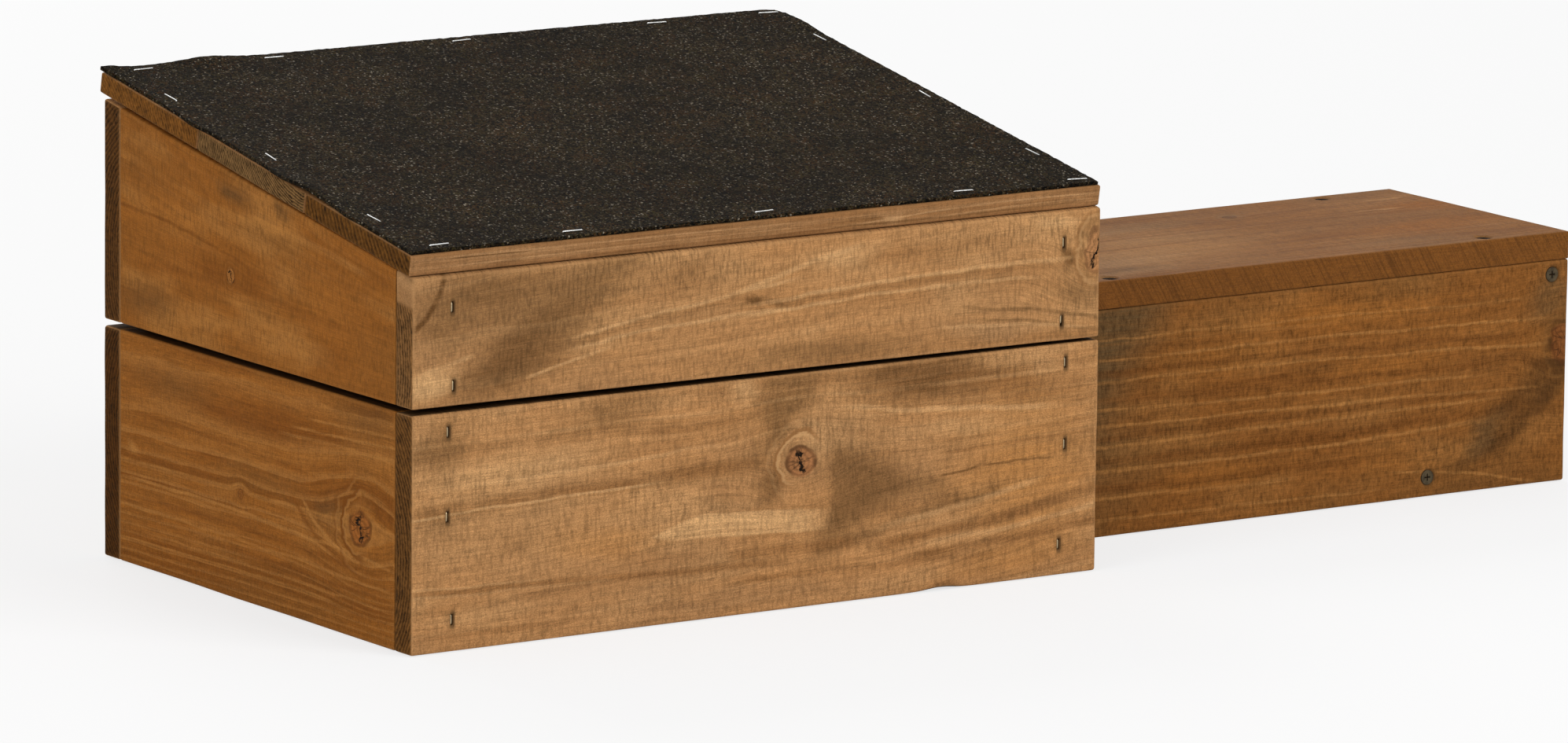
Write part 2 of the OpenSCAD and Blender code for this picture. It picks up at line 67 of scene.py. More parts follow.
class Wire:
    def __init__(self, tree, socket=None):
        self.tree, self.socket = tree, socket

    def node(self, kind, settings=None, sockets=None, out=0):
        made = self.tree.nodes.new(kind)
        for key, value in (settings or {}).items():
            if key == "stops":
                ramp = made.color_ramp
                while len(ramp.elements) < len(value):
                    ramp.elements.new(0.5)
                for element, (place, colour) in zip(ramp.elements, value):
                    element.position, element.color = place, (*colour, 1)
            else:
                setattr(made, key, value)
        for key, value in (sockets or {}).items():
            if isinstance(value, Wire):
                self.tree.links.new(value.socket, made.inputs[key])
            elif made.inputs[key].type == "RGBA" and len(value) == 3:
                made.inputs[key].default_value = (*value, 1)
            else:
                made.inputs[key].default_value = value
        return Wire(self.tree, made.outputs[out] if made.outputs else None)

    def math(self, operation, *others):
        return self.node("ShaderNodeMath", {"operation": operation}, dict(enumerate((self, *others))))

    def __add__(self, other):
        return self.math("ADD", other)

    def __sub__(self, other):
        return self.math("SUBTRACT", other)

    def __rsub__(self, other):
        return self.node("ShaderNodeMath", {"operation": "SUBTRACT"}, {0: other, 1: self})

    def __mul__(self, other):
        return self.math("MULTIPLY", other)

    def __truediv__(self, other):
        return self.math("DIVIDE", other)

    def __neg__(self):
        return self.math("MULTIPLY", -1)

    __radd__ = __add__
    __rmul__ = __mul__

    # Smooth climb from 0 to a height between two values; it falls where the first is the larger
    def climb(self, low, high, height=1.0):
        sockets = {"Value": self, "From Min": low, "From Max": high, "To Max": height}
        return self.node("ShaderNodeMapRange", {"interpolation_type": "SMOOTHSTEP"}, sockets)

    # Ridge from 0 to 1: a climb between the first two values and a fall between the last two
    def ridge(self, start, full, fall, end):
        return self.climb(start, full) * self.climb(end, fall)

    def vector(self, operation, *others, out=0):
        return self.node("ShaderNodeVectorMath", {"operation": operation}, dict(enumerate((self, *others))), out)

    # Place seen from a middle, turned, and measured in half sizes
    def placed(self, at, half, turn=0.0):
        sockets = {"Vector": self, "Location": (*at, 0), "Rotation": (0, 0, math.radians(turn)), "Scale": (*half, 1)}
        return self.node("ShaderNodeMapping", {"vector_type": "TEXTURE"}, sockets)

    # Colour from a first to a second one by this share
    def between(self, first, second):
        return self.node("ShaderNodeMix", {"data_type": "RGBA"}, {0: self, 6: first, 7: second}, out=2)

    # Colour that goes over to another one by a share
    def toward(self, colour, share):
        return share.between(self, colour)

    # A colour made lighter or darker by this factor
    def tinted(self, colour):
        return self.node("ShaderNodeVectorMath", {"operation": "SCALE"}, {0: colour, "Scale": self})

    # Normal bent by this height
    def bump(self, strength, distance):
        sockets = {"Strength": strength, "Distance": distance, "Height": self}
        return self.node("ShaderNodeBump", None, sockets, out="Normal")

    def attribute(self, name):
        return self.node("ShaderNodeAttribute", {"attribute_name": name}, out="Vector")

    def joined(self, *parts):
        return self.node("ShaderNodeCombineXYZ", None, dict(enumerate(parts)))

    def split(self):
        parts = self.node("ShaderNodeSeparateXYZ", None, {0: self}).socket.node.outputs
        return [Wire(self.tree, parts[i]) for i in range(3)]

    # Smooth noise from 0 to 1 on a stretched copy of a place, moved by a seed
    def noise(self, stretch, seed, detail=2.0, rough=0.5, out=0):
        shift = tuple(seed * step % 50 for step in (7.31, 3.17, 5.53))
        moved = self.node("ShaderNodeMapping", None, {"Vector": self, "Location": shift, "Scale": stretch})
        sockets = {"Vector": moved, "Scale": 1.0, "Detail": detail, "Roughness": rough}
        return self.node("ShaderNodeTexNoise", None, sockets, out)


def newFinish(name):
    finish = bpy.data.materials.new(name)
    finish.use_nodes = True
    finish.node_tree.nodes.clear()
    return finish, Wire(finish.node_tree)


def closeFinish(top, sockets):
    shader = top.node("ShaderNodeBsdfPrincipled", None, sockets)
    top.node("ShaderNodeOutputMaterial", None, {"Surface": shader})


# Surfaces

# Values of a board that gives none of its own; its node is then its name with _board added
plainBoard = {"body": "house", "ease": 1.5, "marks": ()}
# Lines and wear of every board, in millimetres, or in shares of the rounded edge or of a mark's half sizes
boardRules = {
    "step": 9, "closest": 0.12, "edgeRows": (0, 0.42, 1, 1.7),
    "markReach": 1.25, "markMargin": 0.9, "markRows": 5, "markFinest": 0.3, "outerRows": (-3.6, -2.4, 2.4, 3.6),
    "leastWear": 0.5, "moreWear": 0.85, "wearWaves": (18, 9, 9), "hollow": 0.12, "hollowWaves": (40, 12, 12),
    "pressRim": (1.0, 1.22), "fadeStart": 0.85, "fadeWide": 2, "facing": (0.55, 0.9),
}


# Lines across one side of a board: close in the rounded edges, even between them, and close again at each mark
def gridLines(length, ease, marks):
    edge = ease * np.array(boardRules["edgeRows"])
    count = max(2, round((length - 2 * edge[-1]) / boardRules["step"]) + 1)
    rows = [edge, length - edge, np.linspace(edge[-1], length - edge[-1], count)]
    for centre, half in marks:
        reach = half * boardRules["markReach"] + boardRules["markMargin"]
        step = max(boardRules["markFinest"], half / boardRules["markRows"])
        rows.append(np.arange(centre - reach, centre + reach, step))
        rows.append(centre + half * np.array(boardRules["outerRows"]))
    rows = np.unique(np.round(np.concatenate(rows), 4))
    rows = rows[(rows >= 0) & (rows <= length)]
    rows = rows[np.concatenate(([True], np.diff(rows) > boardRules["closest"]))]
    rows[-1] = length
    return rows


# Surface of a box cut along three sets of lines: each face is a grid of two parameters, and the faces share their rims
def boxGrid(lines):
    count = [len(rows) for rows in lines]
    quads = []
    for axis in range(3):
        b, c = (axis + 1) % 3, (axis + 2) % 3
        row, column = np.meshgrid(np.arange(count[b] - 1), np.arange(count[c] - 1), indexing="ij")
        for end in (0, count[axis] - 1):
            place = [0, 0, 0]
            rim = []
            for db, dc in ((0, 0), (1, 0), (1, 1), (0, 1)):
                place[axis] = np.full(row.size, end)
                place[b] = row.ravel() + db
                place[c] = column.ravel() + dc
                rim.append((place[0] * count[1] + place[1]) * count[2] + place[2])
            face = np.stack(rim, 1)
            quads.append(face if end else face[:, ::-1])
    used, quads = np.unique(np.concatenate(quads), return_inverse=True)
    i, j, k = used // (count[1] * count[2]), used // count[2] % count[1], used % count[2]
    return np.stack((lines[0][i], lines[1][j], lines[2][k]), 1), quads.reshape(-1, 4)


# Uneven height from 0 to 1: the mean of eight sine waves with seeded directions and starts
def ripple(points, seed, lengths):
    rng = np.random.default_rng(seed)
    waves = rng.normal(size=(3, 8)) / np.reshape(lengths, (3, 1))
    return 0.5 + 0.5 * np.sin(points @ waves + rng.uniform(0, 6.28, 8)).mean(1)


def smooth(low, high, values):
    share = np.clip((values - low) / (high - low), 0, 1)
    return share * share * (3 - 2 * share)


def newPiece(name, points, faces, values, attributes=()):
    mesh = bpy.data.meshes.new(name)
    faces = faces if isinstance(faces, list) else faces.tolist()
    mesh.from_pydata(((points + corner) / 1000).tolist(), [], faces)
    for label, data in attributes:
        layer = mesh.attributes.new(label, "FLOAT_VECTOR", "POINT")
        layer.data.foreach_set("vector", data.astype(np.float32).ravel())
    mesh.polygons.foreach_set("use_smooth", np.ones(len(mesh.polygons), bool))
    mesh.update()
    piece = bpy.data.objects.new(name, mesh)
    bpy.context.scene.collection.objects.link(piece)
    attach(piece, values["body"])
    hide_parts(*values["node"].split())
    return piece


# Board with worn round edges: a box point moves to the nearest point of the box whose edges are rounded,
# then each mark presses its face in, and the board's own shape bends it where the timber is cut or chipped.
# Local axes: along the grain, across the face, and through from the outer face
def makeBoard(values):
    values = {**plainBoard, "node": values["name"] + "_board", **values}
    size, ease, seed = np.array(values["size"], float), values["ease"], values["look"]["seed"]
    marks = [([a for a in range(3) if a != mark[0]], *mark) for mark in values["marks"]]
    cuts = [[], [], []]
    for (b, c), face, side, first, second, halfFirst, halfSecond, depth, power in marks:
        cuts[b].append((first, halfFirst))
        cuts[c].append((second, halfSecond))
    box, quads = boxGrid([gridLines(size[a], ease, cuts[a]) for a in range(3)])
    wear = boardRules["leastWear"] + boardRules["moreWear"] * ripple(box, seed, boardRules["wearWaves"])
    wornAndHighlit = (ease * wear)[:, None]
    core = np.clip(box, wornAndHighlit, size - wornAndHighlit)
    away = box - core
    normal = away / np.linalg.norm(away, axis=1, keepdims=True)
    points = core + wornAndHighlit * normal
    points -= normal * (boardRules["hollow"] * ripple(box, seed + 1, boardRules["hollowWaves"]))[:, None]
    # Mask of the marks and their rims: a smudge and painted shade in and round each mark
    bruise = np.zeros(len(box))
    for (b, c), face, side, first, second, halfFirst, halfSecond, depth, power in marks:
        offset = np.abs((box[:, b] - first) / halfFirst) ** power + np.abs((box[:, c] - second) / halfSecond) ** power
        offset = offset ** (1 / power)
        here = np.abs(box[:, face] - side * size[face]) < 1e-6
        pressed = here * (1 - smooth(*boardRules["pressRim"], offset))
        points[:, face] += (1 - 2 * side) * depth * pressed
        reach = 1 + boardRules["fadeWide"] / min(halfFirst, halfSecond)
        bruise = np.maximum(bruise, here * (1 - smooth(boardRules["fadeStart"], reach, offset)))
    near = np.sort(np.minimum(box, size - box), axis=1)[:, 1]
    toEnd, toSide = (smooth(*boardRules["facing"], np.abs(normal[:, a])) for a in (0, 1))
    faces = np.stack((toEnd - toSide, near, bruise), 1)
    grain = points.copy()
    if "shape" in values:
        points = values["shape"](points)
    turn = np.stack(values["turn"])
    if np.linalg.det(turn) < 0:
        quads = quads[:, ::-1]
    place = np.asarray(values["start"], float) + points @ turn
    piece = newPiece(values["name"], place, quads, values, (("grain", grain), ("faces", faces)))
    piece.data.materials.append(timberFinish(values["name"], values["look"]))
    return piece


# Masks on a face, each from 0 to its depth: cores in half sizes, and the bow at which a line's ends are full

masks = {"ovalCore": 0.1, "strokeCore": 0.15, "strokeEnds": 0.13}


# Bell that is 1 at a point: the exponent of minus the squared distance in half sizes
def bell(spot, at, half):
    local = spot.placed(at, half)
    return (-local.vector("DOT_PRODUCT", local, out=1)).math("EXPONENT")


# Turned oval that fades to its rim
def oval(spot, at, half, turn, depth):
    return spot.placed(at, half, turn).vector("LENGTH", out=1).climb(1.0, masks["ovalCore"], depth)


# Bowed line: share runs from 0 at its start to 1 at its end,
# and its middle leaves the straight by 4 sag share (1 - share)
def stroke(spot, start, end, half, sag, depth):
    run, rise = end[0] - start[0], end[1] - start[1]
    local = spot.placed(start, (math.hypot(run, rise), half), math.degrees(math.atan2(rise, run)))
    share, apart = local.split()[:2]
    bow = share * (1 - share)
    line = (apart - bow * (4 * sag / half)).math("ABSOLUTE").climb(1.0, masks["strokeCore"])
    return line * bow.climb(0.0, masks["strokeEnds"], depth)


# Patch within straight sides: each has a point, the direction that leads inwards, and the width of its soft rim
def wedge(spot, sides, depth):
    share = depth
    for l, w, turn, soft in sides:
        inward = (math.cos(math.radians(turn)), math.sin(math.radians(turn)), 0)
        start = l * inward[0] + w * inward[1]
        share = spot.vector("DOT_PRODUCT", inward, out=1).climb(start, start + soft) * share
    return share


# Place within a year ring and a random number of that year
def yearRings(radius, wide, seed):
    row = radius / wide
    year = row.node("ShaderNodeTexWhiteNoise", {"noise_dimensions": "1D"}, {"W": row.math("FLOOR") + seed})
    return row.math("FRACT"), year


plainTimber = {
    "ring": 2.4, "boldRing": 11, "slant": 0.0, "wander": 16, "wobble": 1.6,
    "eddies": (), "knots": (), "ovals": (), "strokes": (), "wedges": (), "ovalDrift": (26, 15, 0),
    "lineDrift": (0, 4, 0), "lateDepth": 0.3, "boldDepth": 0.3, "bandDepth": 0.8, "patchDepth": 0.4,
    "glowDepth": 0.35, "streakDepth": 0.42, "fibreDepth": 1.1, "sawDepth": 0.2, "sawLean": 0.0, "fuzzDepth": 1.1,
    "fleckDepth": 0.4, "mottleDepth": 0.3, "level": 1.04, "relief": 0.5, "reliefDeep": 0.0003, "gloss": 0.03,
    "rim": None, "bareEnd": None, "endRings": 0.6, "wearAndHighlightDepth": 0.35, "edgeFace": False,
}
plainKnot = {
    "pull": 0.8, "ragged": 7, "split": 0.7, "gape": 0.19, "hug": 0.5, "hugSide": (0, 0), "swirl": 2.6,
    "collar": ("pale", 0.98, 1.5, 0.4), "depth": 0.85, "outline": 0.6,
}
# Noises of the timber: waves per millimetre along, across and through, step of the seed, detail and roughness,
# and for some of them the range that becomes 0 to 1
timberNoise = {
    "drift": ((0.035, 0.06, 0.06), 1, 3.0, 0.55), "wander": ((0.0045, 0.014, 0.014), 2, 2.0, 0.5),
    "wobble": ((0.02, 0.12, 0.12), 3, 2.0, 0.5), "bands": ((0.004, 0.085, 0.03), 4, 3.0, 0.6),
    "streak": ((0.011, 0.42, 0.4), 9, 3.0, 0.6), "fibre": ((0.07, 1.6, 1.6), 5, 3.0, 0.65),
    "fuzz": ((1.3, 2.0, 2.0), 12, 2.0, 0.5), "fleck": ((0.62, 0.34, 0.34), 11, 2.0, 0.6),
    "mottle": ((0.13, 0.2, 0.2), 13, 3.0, 0.6), "end": ((0.3, 0.5, 0.5), 10, 3.0, 0.65),
    "cleft": ((1.7, 1.7, 1), 17, 3.0, 0.7), "patch": ((0.011, 0.02, 0.02), 8, 2.0, 0.5, 0.42, 0.72),
    "glow": ((0.012, 0.04, 0.04), 14, 2.0, 0.5, 0.46, 0.72), "breaks": ((0.03, 0.2, 0.2), 16, 2.0, 0.5, 0.28, 0.6),
    "saw": ((0.72, 0.14, 0.03), 7, 2.0, 0.55, 0.42, 0.7),
}
# Ridges within a year or round a knot: where they start, are full, fall and end
timberRidges = {
    "late": (0.5, 0.9, 0.93, 1.0), "boldLine": (0.84, 0.93, 0.95, 1.0), "boldDark": (0.3, 0.85, 0.86, 0.94),
    "endLate": (0.2, 0.85, 0.92, 1.0), "outline": (0.72, 0.92, 0.94, 1.08),
}
# Parts of a knot, most of them in its half sizes
knotRules = {
    "pullReach": (3.2, 2.3), "crack": (0.022, 0.005), "crackEnds": (0.95, 0.6), "cleftBend": 1.5, "cleftCore": 0.37,
    "cleftEnds": (0.88, 0.5), "heart": (1.04, 0.82), "heartRings": 21, "hugTurns": 8.5, "hugRim": (-0.6, 0.6),
    "around": (0.98, 1.2, 1.2), "collarRim": 0.1,
}
# Pressed places: tone, where it starts and is full, and its depth
# A grey smudge round each mark, a ring that is partly crushed wood and partly painted shade, and painted shade in its
# middle
bruiseAndShadeSteps = (("smoke", 0.0, 0.7, 0.35), ("bruise", 0.55, 0.95, 0.75), ("hole", 0.95, 1.0, 0.85))
# Painted shade on the board edges that face the slots: tone, depth, where it starts and is full behind the outer face,
# and the same across the board, so that a lower board has it on its upper edge and an upper board on its lower edge
slotShade = ((0.02, 0.011, 0.005), 0.85, 0.5, 2.2, 60, 80)
slotShadeLow = slotShade[:4] + (40, 20)


# Stained softwood. Rings are cylinders around a pith behind the face, so faces show long lines and ends show arcs.
# Eddies lift the lines, and a knot draws them to its middle, which bends them round it.
# Bands, streaks and fibres follow those lines, and uneven saw marks cross them.
# Ovals, strokes and wedges are mostly the board's own stains; some are painted shade, shadow or sheen
def timberFinish(name, look):
    look = dict(plainTimber, **look)
    tone, seed = look["tone"], look["seed"]
    knots = [dict(plainKnot, **knot) for knot in look["knots"]]
    finish, top = newFinish(name + "_timber")
    spot = top.attribute("grain")
    along, across, through = spot.split()
    facing, edge, bruise = top.attribute("faces").split()
    endGrain, narrow = facing.math("MAXIMUM", 0.0), (-facing).math("MAXIMUM", 0.0)
    face = top.joined(along, through if look["edgeFace"] else across)

    # One noise of the table: around 0, or from 0 to 1 where the table has a range
    def noiseOf(kind, place=spot):
        stretch, step, detail, rough, *rise = timberNoise[kind]
        value = place.noise(stretch, seed + step, detail, rough)
        return value.climb(*rise) if rise else value - 0.5

    stretch, step, detail, rough = timberNoise["drift"]
    drift = spot.noise(stretch, seed + step, detail, rough, out=1).vector("SUBTRACT", (0.5, 0.5, 0.5))
    ovalSpot = drift.vector("MULTIPLY_ADD", look["ovalDrift"], face)
    lineSpot = drift.vector("MULTIPLY_ADD", look["lineDrift"], face)

    flow = across - along * look["slant"] + noiseOf("wander") * look["wander"]
    for l, w, halfL, halfW, rise in look["eddies"]:
        flow = flow - bell(face, (l, w), (halfL, halfW)) * rise
    for knot in knots:
        reach = [half * times for half, times in zip(knot["half"], knotRules["pullReach"])]
        flow = flow + (knot["at"][1] - flow) * (bell(face, knot["at"], reach) * knot["pull"])
    aside, deep = flow - look["pith"][0], through - look["pith"][1]
    radius = (aside * aside + deep * deep).math("SQRT") + noiseOf("wobble") * look["wobble"]
    ring, year = yearRings(radius, look["ring"], seed)
    late = ring.ridge(*timberRidges["late"]) * (year * 0.8 + 0.2)
    bold, boldYear = yearRings(radius, look["boldRing"], seed + 1)
    boldLine = bold.ridge(*timberRidges["boldLine"]) * boldYear.climb(0.1, 0.8)
    boldDark = bold.ridge(*timberRidges["boldDark"]) * boldYear
    figure = top.joined(along, flow, through)
    bands, streak, fibre = (noiseOf(kind, figure) for kind in ("bands", "streak", "fibre"))
    fuzz, fleck, mottle = (noiseOf(kind) for kind in ("fuzz", "fleck", "mottle"))
    patch, glow, breaks = (noiseOf(kind) for kind in ("patch", "glow", "breaks"))
    sawSpot = top.joined(along - through * look["sawLean"], across, through)
    saw = noiseOf("saw", sawSpot) * (fibre * 2.0 + fuzz * 2.5 + glow * 0.4 + narrow * 0.6 + 0.8)

    drawn, patchy = streak + bands + 1.0, breaks * 0.5 + 0.5
    stainsAndPaintedLight = [
        ("grey", patch * look["patchDepth"]), ("pale", glow * look["glowDepth"]),
        ("dark", boldDark * look["boldDepth"]),
    ]
    for l, w, halfL, halfW, turn, toneName, depth in look["ovals"]:
        stainsAndPaintedLight.append((toneName, oval(ovalSpot, (l, w), (halfL, halfW), turn, depth) * drawn))
    for sides, toneName, depth in look["wedges"]:
        stainsAndPaintedLight.append((toneName, wedge(lineSpot, sides, depth) * drawn))
    stainsAndPaintedLight += [("pale", late * look["lateDepth"]), ("pale", boldLine * breaks * look["boldDepth"])]
    for l, w, endL, endW, half, sag, toneName, depth in look["strokes"]:
        stainsAndPaintedLight.append((toneName, stroke(lineSpot, (l, w), (endL, endW), half, sag, depth) * patchy))
    colour = bands.climb(0.0, 0.2, look["bandDepth"]).between(tone["mid"], tone["dark"])
    for toneName, share in stainsAndPaintedLight:
        colour = colour.toward(tone[toneName], share)
    # The rim on wall boards is painted shade in the slots between boards; on the tunnel's top it is the darker tone of
    # its edges
    if look["rim"]:
        rimTone, rimDepth, rimStart, rimFull, rimLow, rimHigh = look["rim"]
        rim = narrow * through.climb(rimStart, rimFull, rimDepth) * across.climb(rimLow, rimHigh)
        colour = colour.toward(rimTone, rim)
    shade = streak * look["streakDepth"] + fibre * look["fibreDepth"] - saw * look["sawDepth"]
    shade = shade + fuzz * look["fuzzDepth"] + fleck * look["fleckDepth"] + mottle * look["mottleDepth"] + look["level"]
    colour = shade.tinted(colour)
    height = fibre + late * 0.5 + boldLine + streak * 0.8 - saw * look["sawDepth"] * 3

    # Knots: a heart with cracks, where noise round the middle crosses its mean, and with one bent cleft in some,
    # then an outline, a collar and lines that hug it
    for knot in knots:
        rag = knot["ragged"]
        local = drift.vector("MULTIPLY_ADD", (rag, rag, 0), face).placed(knot["at"], knot["half"])
        off = local.vector("LENGTH", out=1)
        spread = off * 0.5 + (seed + knot["at"][0])
        sockets = {"Vector": local.vector("NORMALIZE"), "W": spread, "Scale": 0.9, "Detail": 2.0}
        crack = (top.node("ShaderNodeTexNoise", {"noise_dimensions": "4D"}, sockets) - 0.5).math("ABSOLUTE")
        crack = crack.climb(*knotRules["crack"]) * off.climb(*knotRules["crackEnds"], knot["split"])
        if "cleft" in knot:
            sideways, upright = local.placed((0, 0), (1, 1), knot["cleft"]).split()[:2]
            sideways = (sideways + noiseOf("cleft", local) * knotRules["cleftBend"]).math("ABSOLUTE")
            cleft = sideways.climb(knot["gape"], knot["gape"] * knotRules["cleftCore"])
            crack = crack * 0.6 + cleft * upright.math("ABSOLUTE").climb(*knotRules["cleftEnds"])
        heart = off.climb(*knotRules["heart"])
        growth = (off * knotRules["heartRings"]).math("SINE") * 0.2 + fuzz * 0.9 + mottle * 1.4 + 1.0
        hugSide = local.vector("DOT_PRODUCT", (*knot["hugSide"], 0), out=1).climb(*knotRules["hugRim"], knot["hug"])
        around = off.ridge(*knotRules["around"], knot["swirl"]) * hugSide
        hugTurn = off * knotRules["hugTurns"] + mottle * 5
        hug = hugTurn.math("SINE").climb(0.0, 1.0) * around
        hugPale = hugTurn.math("COSINE").climb(0.2, 1.0) * around
        collarTone, collarStart, collarEnd, collarDepth = knot["collar"]
        collarFull = collarStart + knotRules["collarRim"]
        collar = off.ridge(collarStart - knotRules["collarRim"], collarFull, collarFull, collarEnd) * collarDepth
        outline = off.ridge(*timberRidges["outline"]) * breaks
        colour = colour.toward(tone["dark"], hug).toward(tone["pale"], hugPale * 0.6)
        colour = colour.toward(tone[collarTone], collar * (mottle * 2.0 + breaks * 0.8 + 0.2))
        colour = colour.toward(growth.tinted(knot.get("tone", tone["knot"])), heart * knot["depth"])
        colour = colour.toward(tone["knotDark"], outline * knot["outline"])
        # Cracks take the near-black tone: painted shade inside them
        colour = colour.toward(tone["hole"], crack)
        height = height + heart * 0.4 - crack * 2.5 - hug * 1.2 + hugPale

    if look["bareEnd"]:
        bareStart, bareFull = look["bareEnd"]
        endGrain = endGrain * across.climb(bareFull, bareStart)
    grainRing = ((radius + mottle * 2.4) / (look["ring"] * 0.9)).math("FRACT")
    endLate, endNoise = grainRing.ridge(*timberRidges["endLate"]), noiseOf("end")
    endShade = (endLate - 0.4) * (look["endRings"] * 1.5) + endNoise * 2.2 + mottle * 2.0 + 1.0
    colour = colour.toward(endShade.tinted(tone["end"]), endGrain * 0.97)
    height = height + endGrain * (endNoise + endLate) * 0.8
    # Pale rounded edges: partly wear and partly a painted highlight along them
    wear = (edge + mottle * 5.0).climb(2.2, 0.2) * (1 - endGrain * 0.7)
    colour = colour.toward(tone["wornAndHighlit"], wear * look["wearAndHighlightDepth"])
    # Pressed marks: a grey smudge, a ring of crushed wood and painted shade, and painted shade in the middle
    for toneName, start, full, depth in bruiseAndShadeSteps:
        colour = colour.toward(tone[toneName], bruise.climb(start, full, depth))
    closeFinish(top, {
        "Base Color": colour, "Roughness": fibre * 0.25 + endGrain * 0.12 + bruise * 0.1 - late * 0.06 + 0.7,
        "Specular IOR Level": look["gloss"], "Normal": height.bump(look["relief"], look["reliefDeep"]),
    })
    return finish


# Tones of the timber: stains, painted shade in gaps and pressed rims, and pale worn and highlit edges
frontTone = {
    "mid": (0.386, 0.191, 0.0715), "dark": (0.234, 0.106, 0.0353), "pale": (0.53, 0.305, 0.132),
    "grey": (0.28, 0.152, 0.067), "gold": (0.37, 0.168, 0.05), "smoke": (0.178, 0.088, 0.032),
    "shadow": (0.115, 0.052, 0.0165), "end": (0.095, 0.04, 0.0095), "wornAndHighlit": (0.43, 0.23, 0.095),
    "bruise": (0.09, 0.048, 0.02), "hole": (0.012, 0.007, 0.004), "knot": (0.29, 0.122, 0.047),
    "knotDark": (0.09, 0.039, 0.015),
}
sideTone = {
    "mid": (0.26, 0.093, 0.0155), "dark": (0.175, 0.056, 0.0085), "pale": (0.39, 0.17, 0.042),
    "grey": (0.19, 0.078, 0.018), "gold": (0.31, 0.114, 0.02), "smoke": (0.14, 0.062, 0.0175),
    "shadow": (0.08, 0.03, 0.0075), "end": (0.062, 0.026, 0.0065), "wornAndHighlit": (0.31, 0.13, 0.032),
    "bruise": (0.09, 0.042, 0.013), "hole": (0.01, 0.006, 0.003), "knot": (0.25, 0.082, 0.0165),
    "knotDark": (0.065, 0.024, 0.006),
}
tunnelTone = {
    "mid": (0.2, 0.076, 0.0165), "dark": (0.128, 0.045, 0.0092), "pale": (0.32, 0.145, 0.04),
    "grey": (0.136, 0.072, 0.0235), "gold": (0.27, 0.103, 0.0205), "smoke": (0.1, 0.056, 0.0215),
    "shadow": (0.062, 0.0265, 0.0075), "end": (0.09, 0.04, 0.012), "wornAndHighlit": (0.23, 0.098, 0.027),
    "bruise": (0.04, 0.021, 0.009), "hole": (0.009, 0.005, 0.0025), "knot": (0.15, 0.05, 0.0135),
    "knotDark": (0.045, 0.0185, 0.006),
}
# On the tunnel's top the smoke tone is lighter than the mid tone and the pale tone is raised, to paint sheen on the top
topTone = dict(
    tunnelTone, mid=(0.2, 0.08, 0.02), dark=(0.14, 0.05, 0.0115), pale=(0.44, 0.225, 0.085),
    grey=(0.185, 0.095, 0.038), gold=(0.235, 0.082, 0.0135), smoke=(0.262, 0.138, 0.058), wornAndHighlit=(0.17, 0.065, 0.016),
    hole=(0.006, 0.004, 0.002),
)
roofTone = dict(
    frontTone, mid=(0.265, 0.126, 0.047), dark=(0.165, 0.073, 0.025), pale=(0.42, 0.235, 0.105),
    end=(0.1, 0.045, 0.013), wornAndHighlit=(0.27, 0.13, 0.048), smoke=(0.115, 0.064, 0.027),
)
insideTone = dict(
    sideTone, mid=(0.33, 0.155, 0.056), dark=(0.23, 0.098, 0.032), pale=(0.46, 0.25, 0.104), end=(0.12, 0.054, 0.017),
)
backTone = dict(frontTone, end=(0.058, 0.023, 0.0055))
battenLook = {"tone": insideTone, "wander": 8, "lateDepth": 0.5}

# Wall staples: two columns of five through the front and back boards, one of four inside each post.
# A slot has its half length and half width, its depth and the power of its outline
stapleRows = {
    "stagger": (1.3, -1.6, -1.3, 1.5, 0.7), "frontLevels": (15.5, 65.5, 106.5, 128.6, 166.484),
    "backLevels": (15.5, 65.5, 106.5, 128.6, 205.395), "fromEnd": 21.6,
    "frontInner": (23.5, 98.5, 136.6, 158.484), "backInner": (23.5, 98.5, 136.6, 197.395),
    "slot": (0.85, 2.5, 1.5, 4), "aside": 0.3,
}


# Places of the two columns of staples in a front or back wall: x and height
def stapleSpots(levels):
    inset, spots = stapleRows["fromEnd"], []
    for level, drift in zip(levels, stapleRows["stagger"]):
        spots += [(inset + drift, level), (house["width"] - inset - drift, level)]
    return spots


# Pressed slots of the wall staples in a board that runs from one height to another
def stapleMarks(levels, low, high):
    inside = [(x, level) for x, level in stapleSpots(levels) if low < level < high]
    return [(2, 0, x + stapleRows["aside"], level - low, *stapleRows["slot"]) for x, level in inside]


# Front and back walls

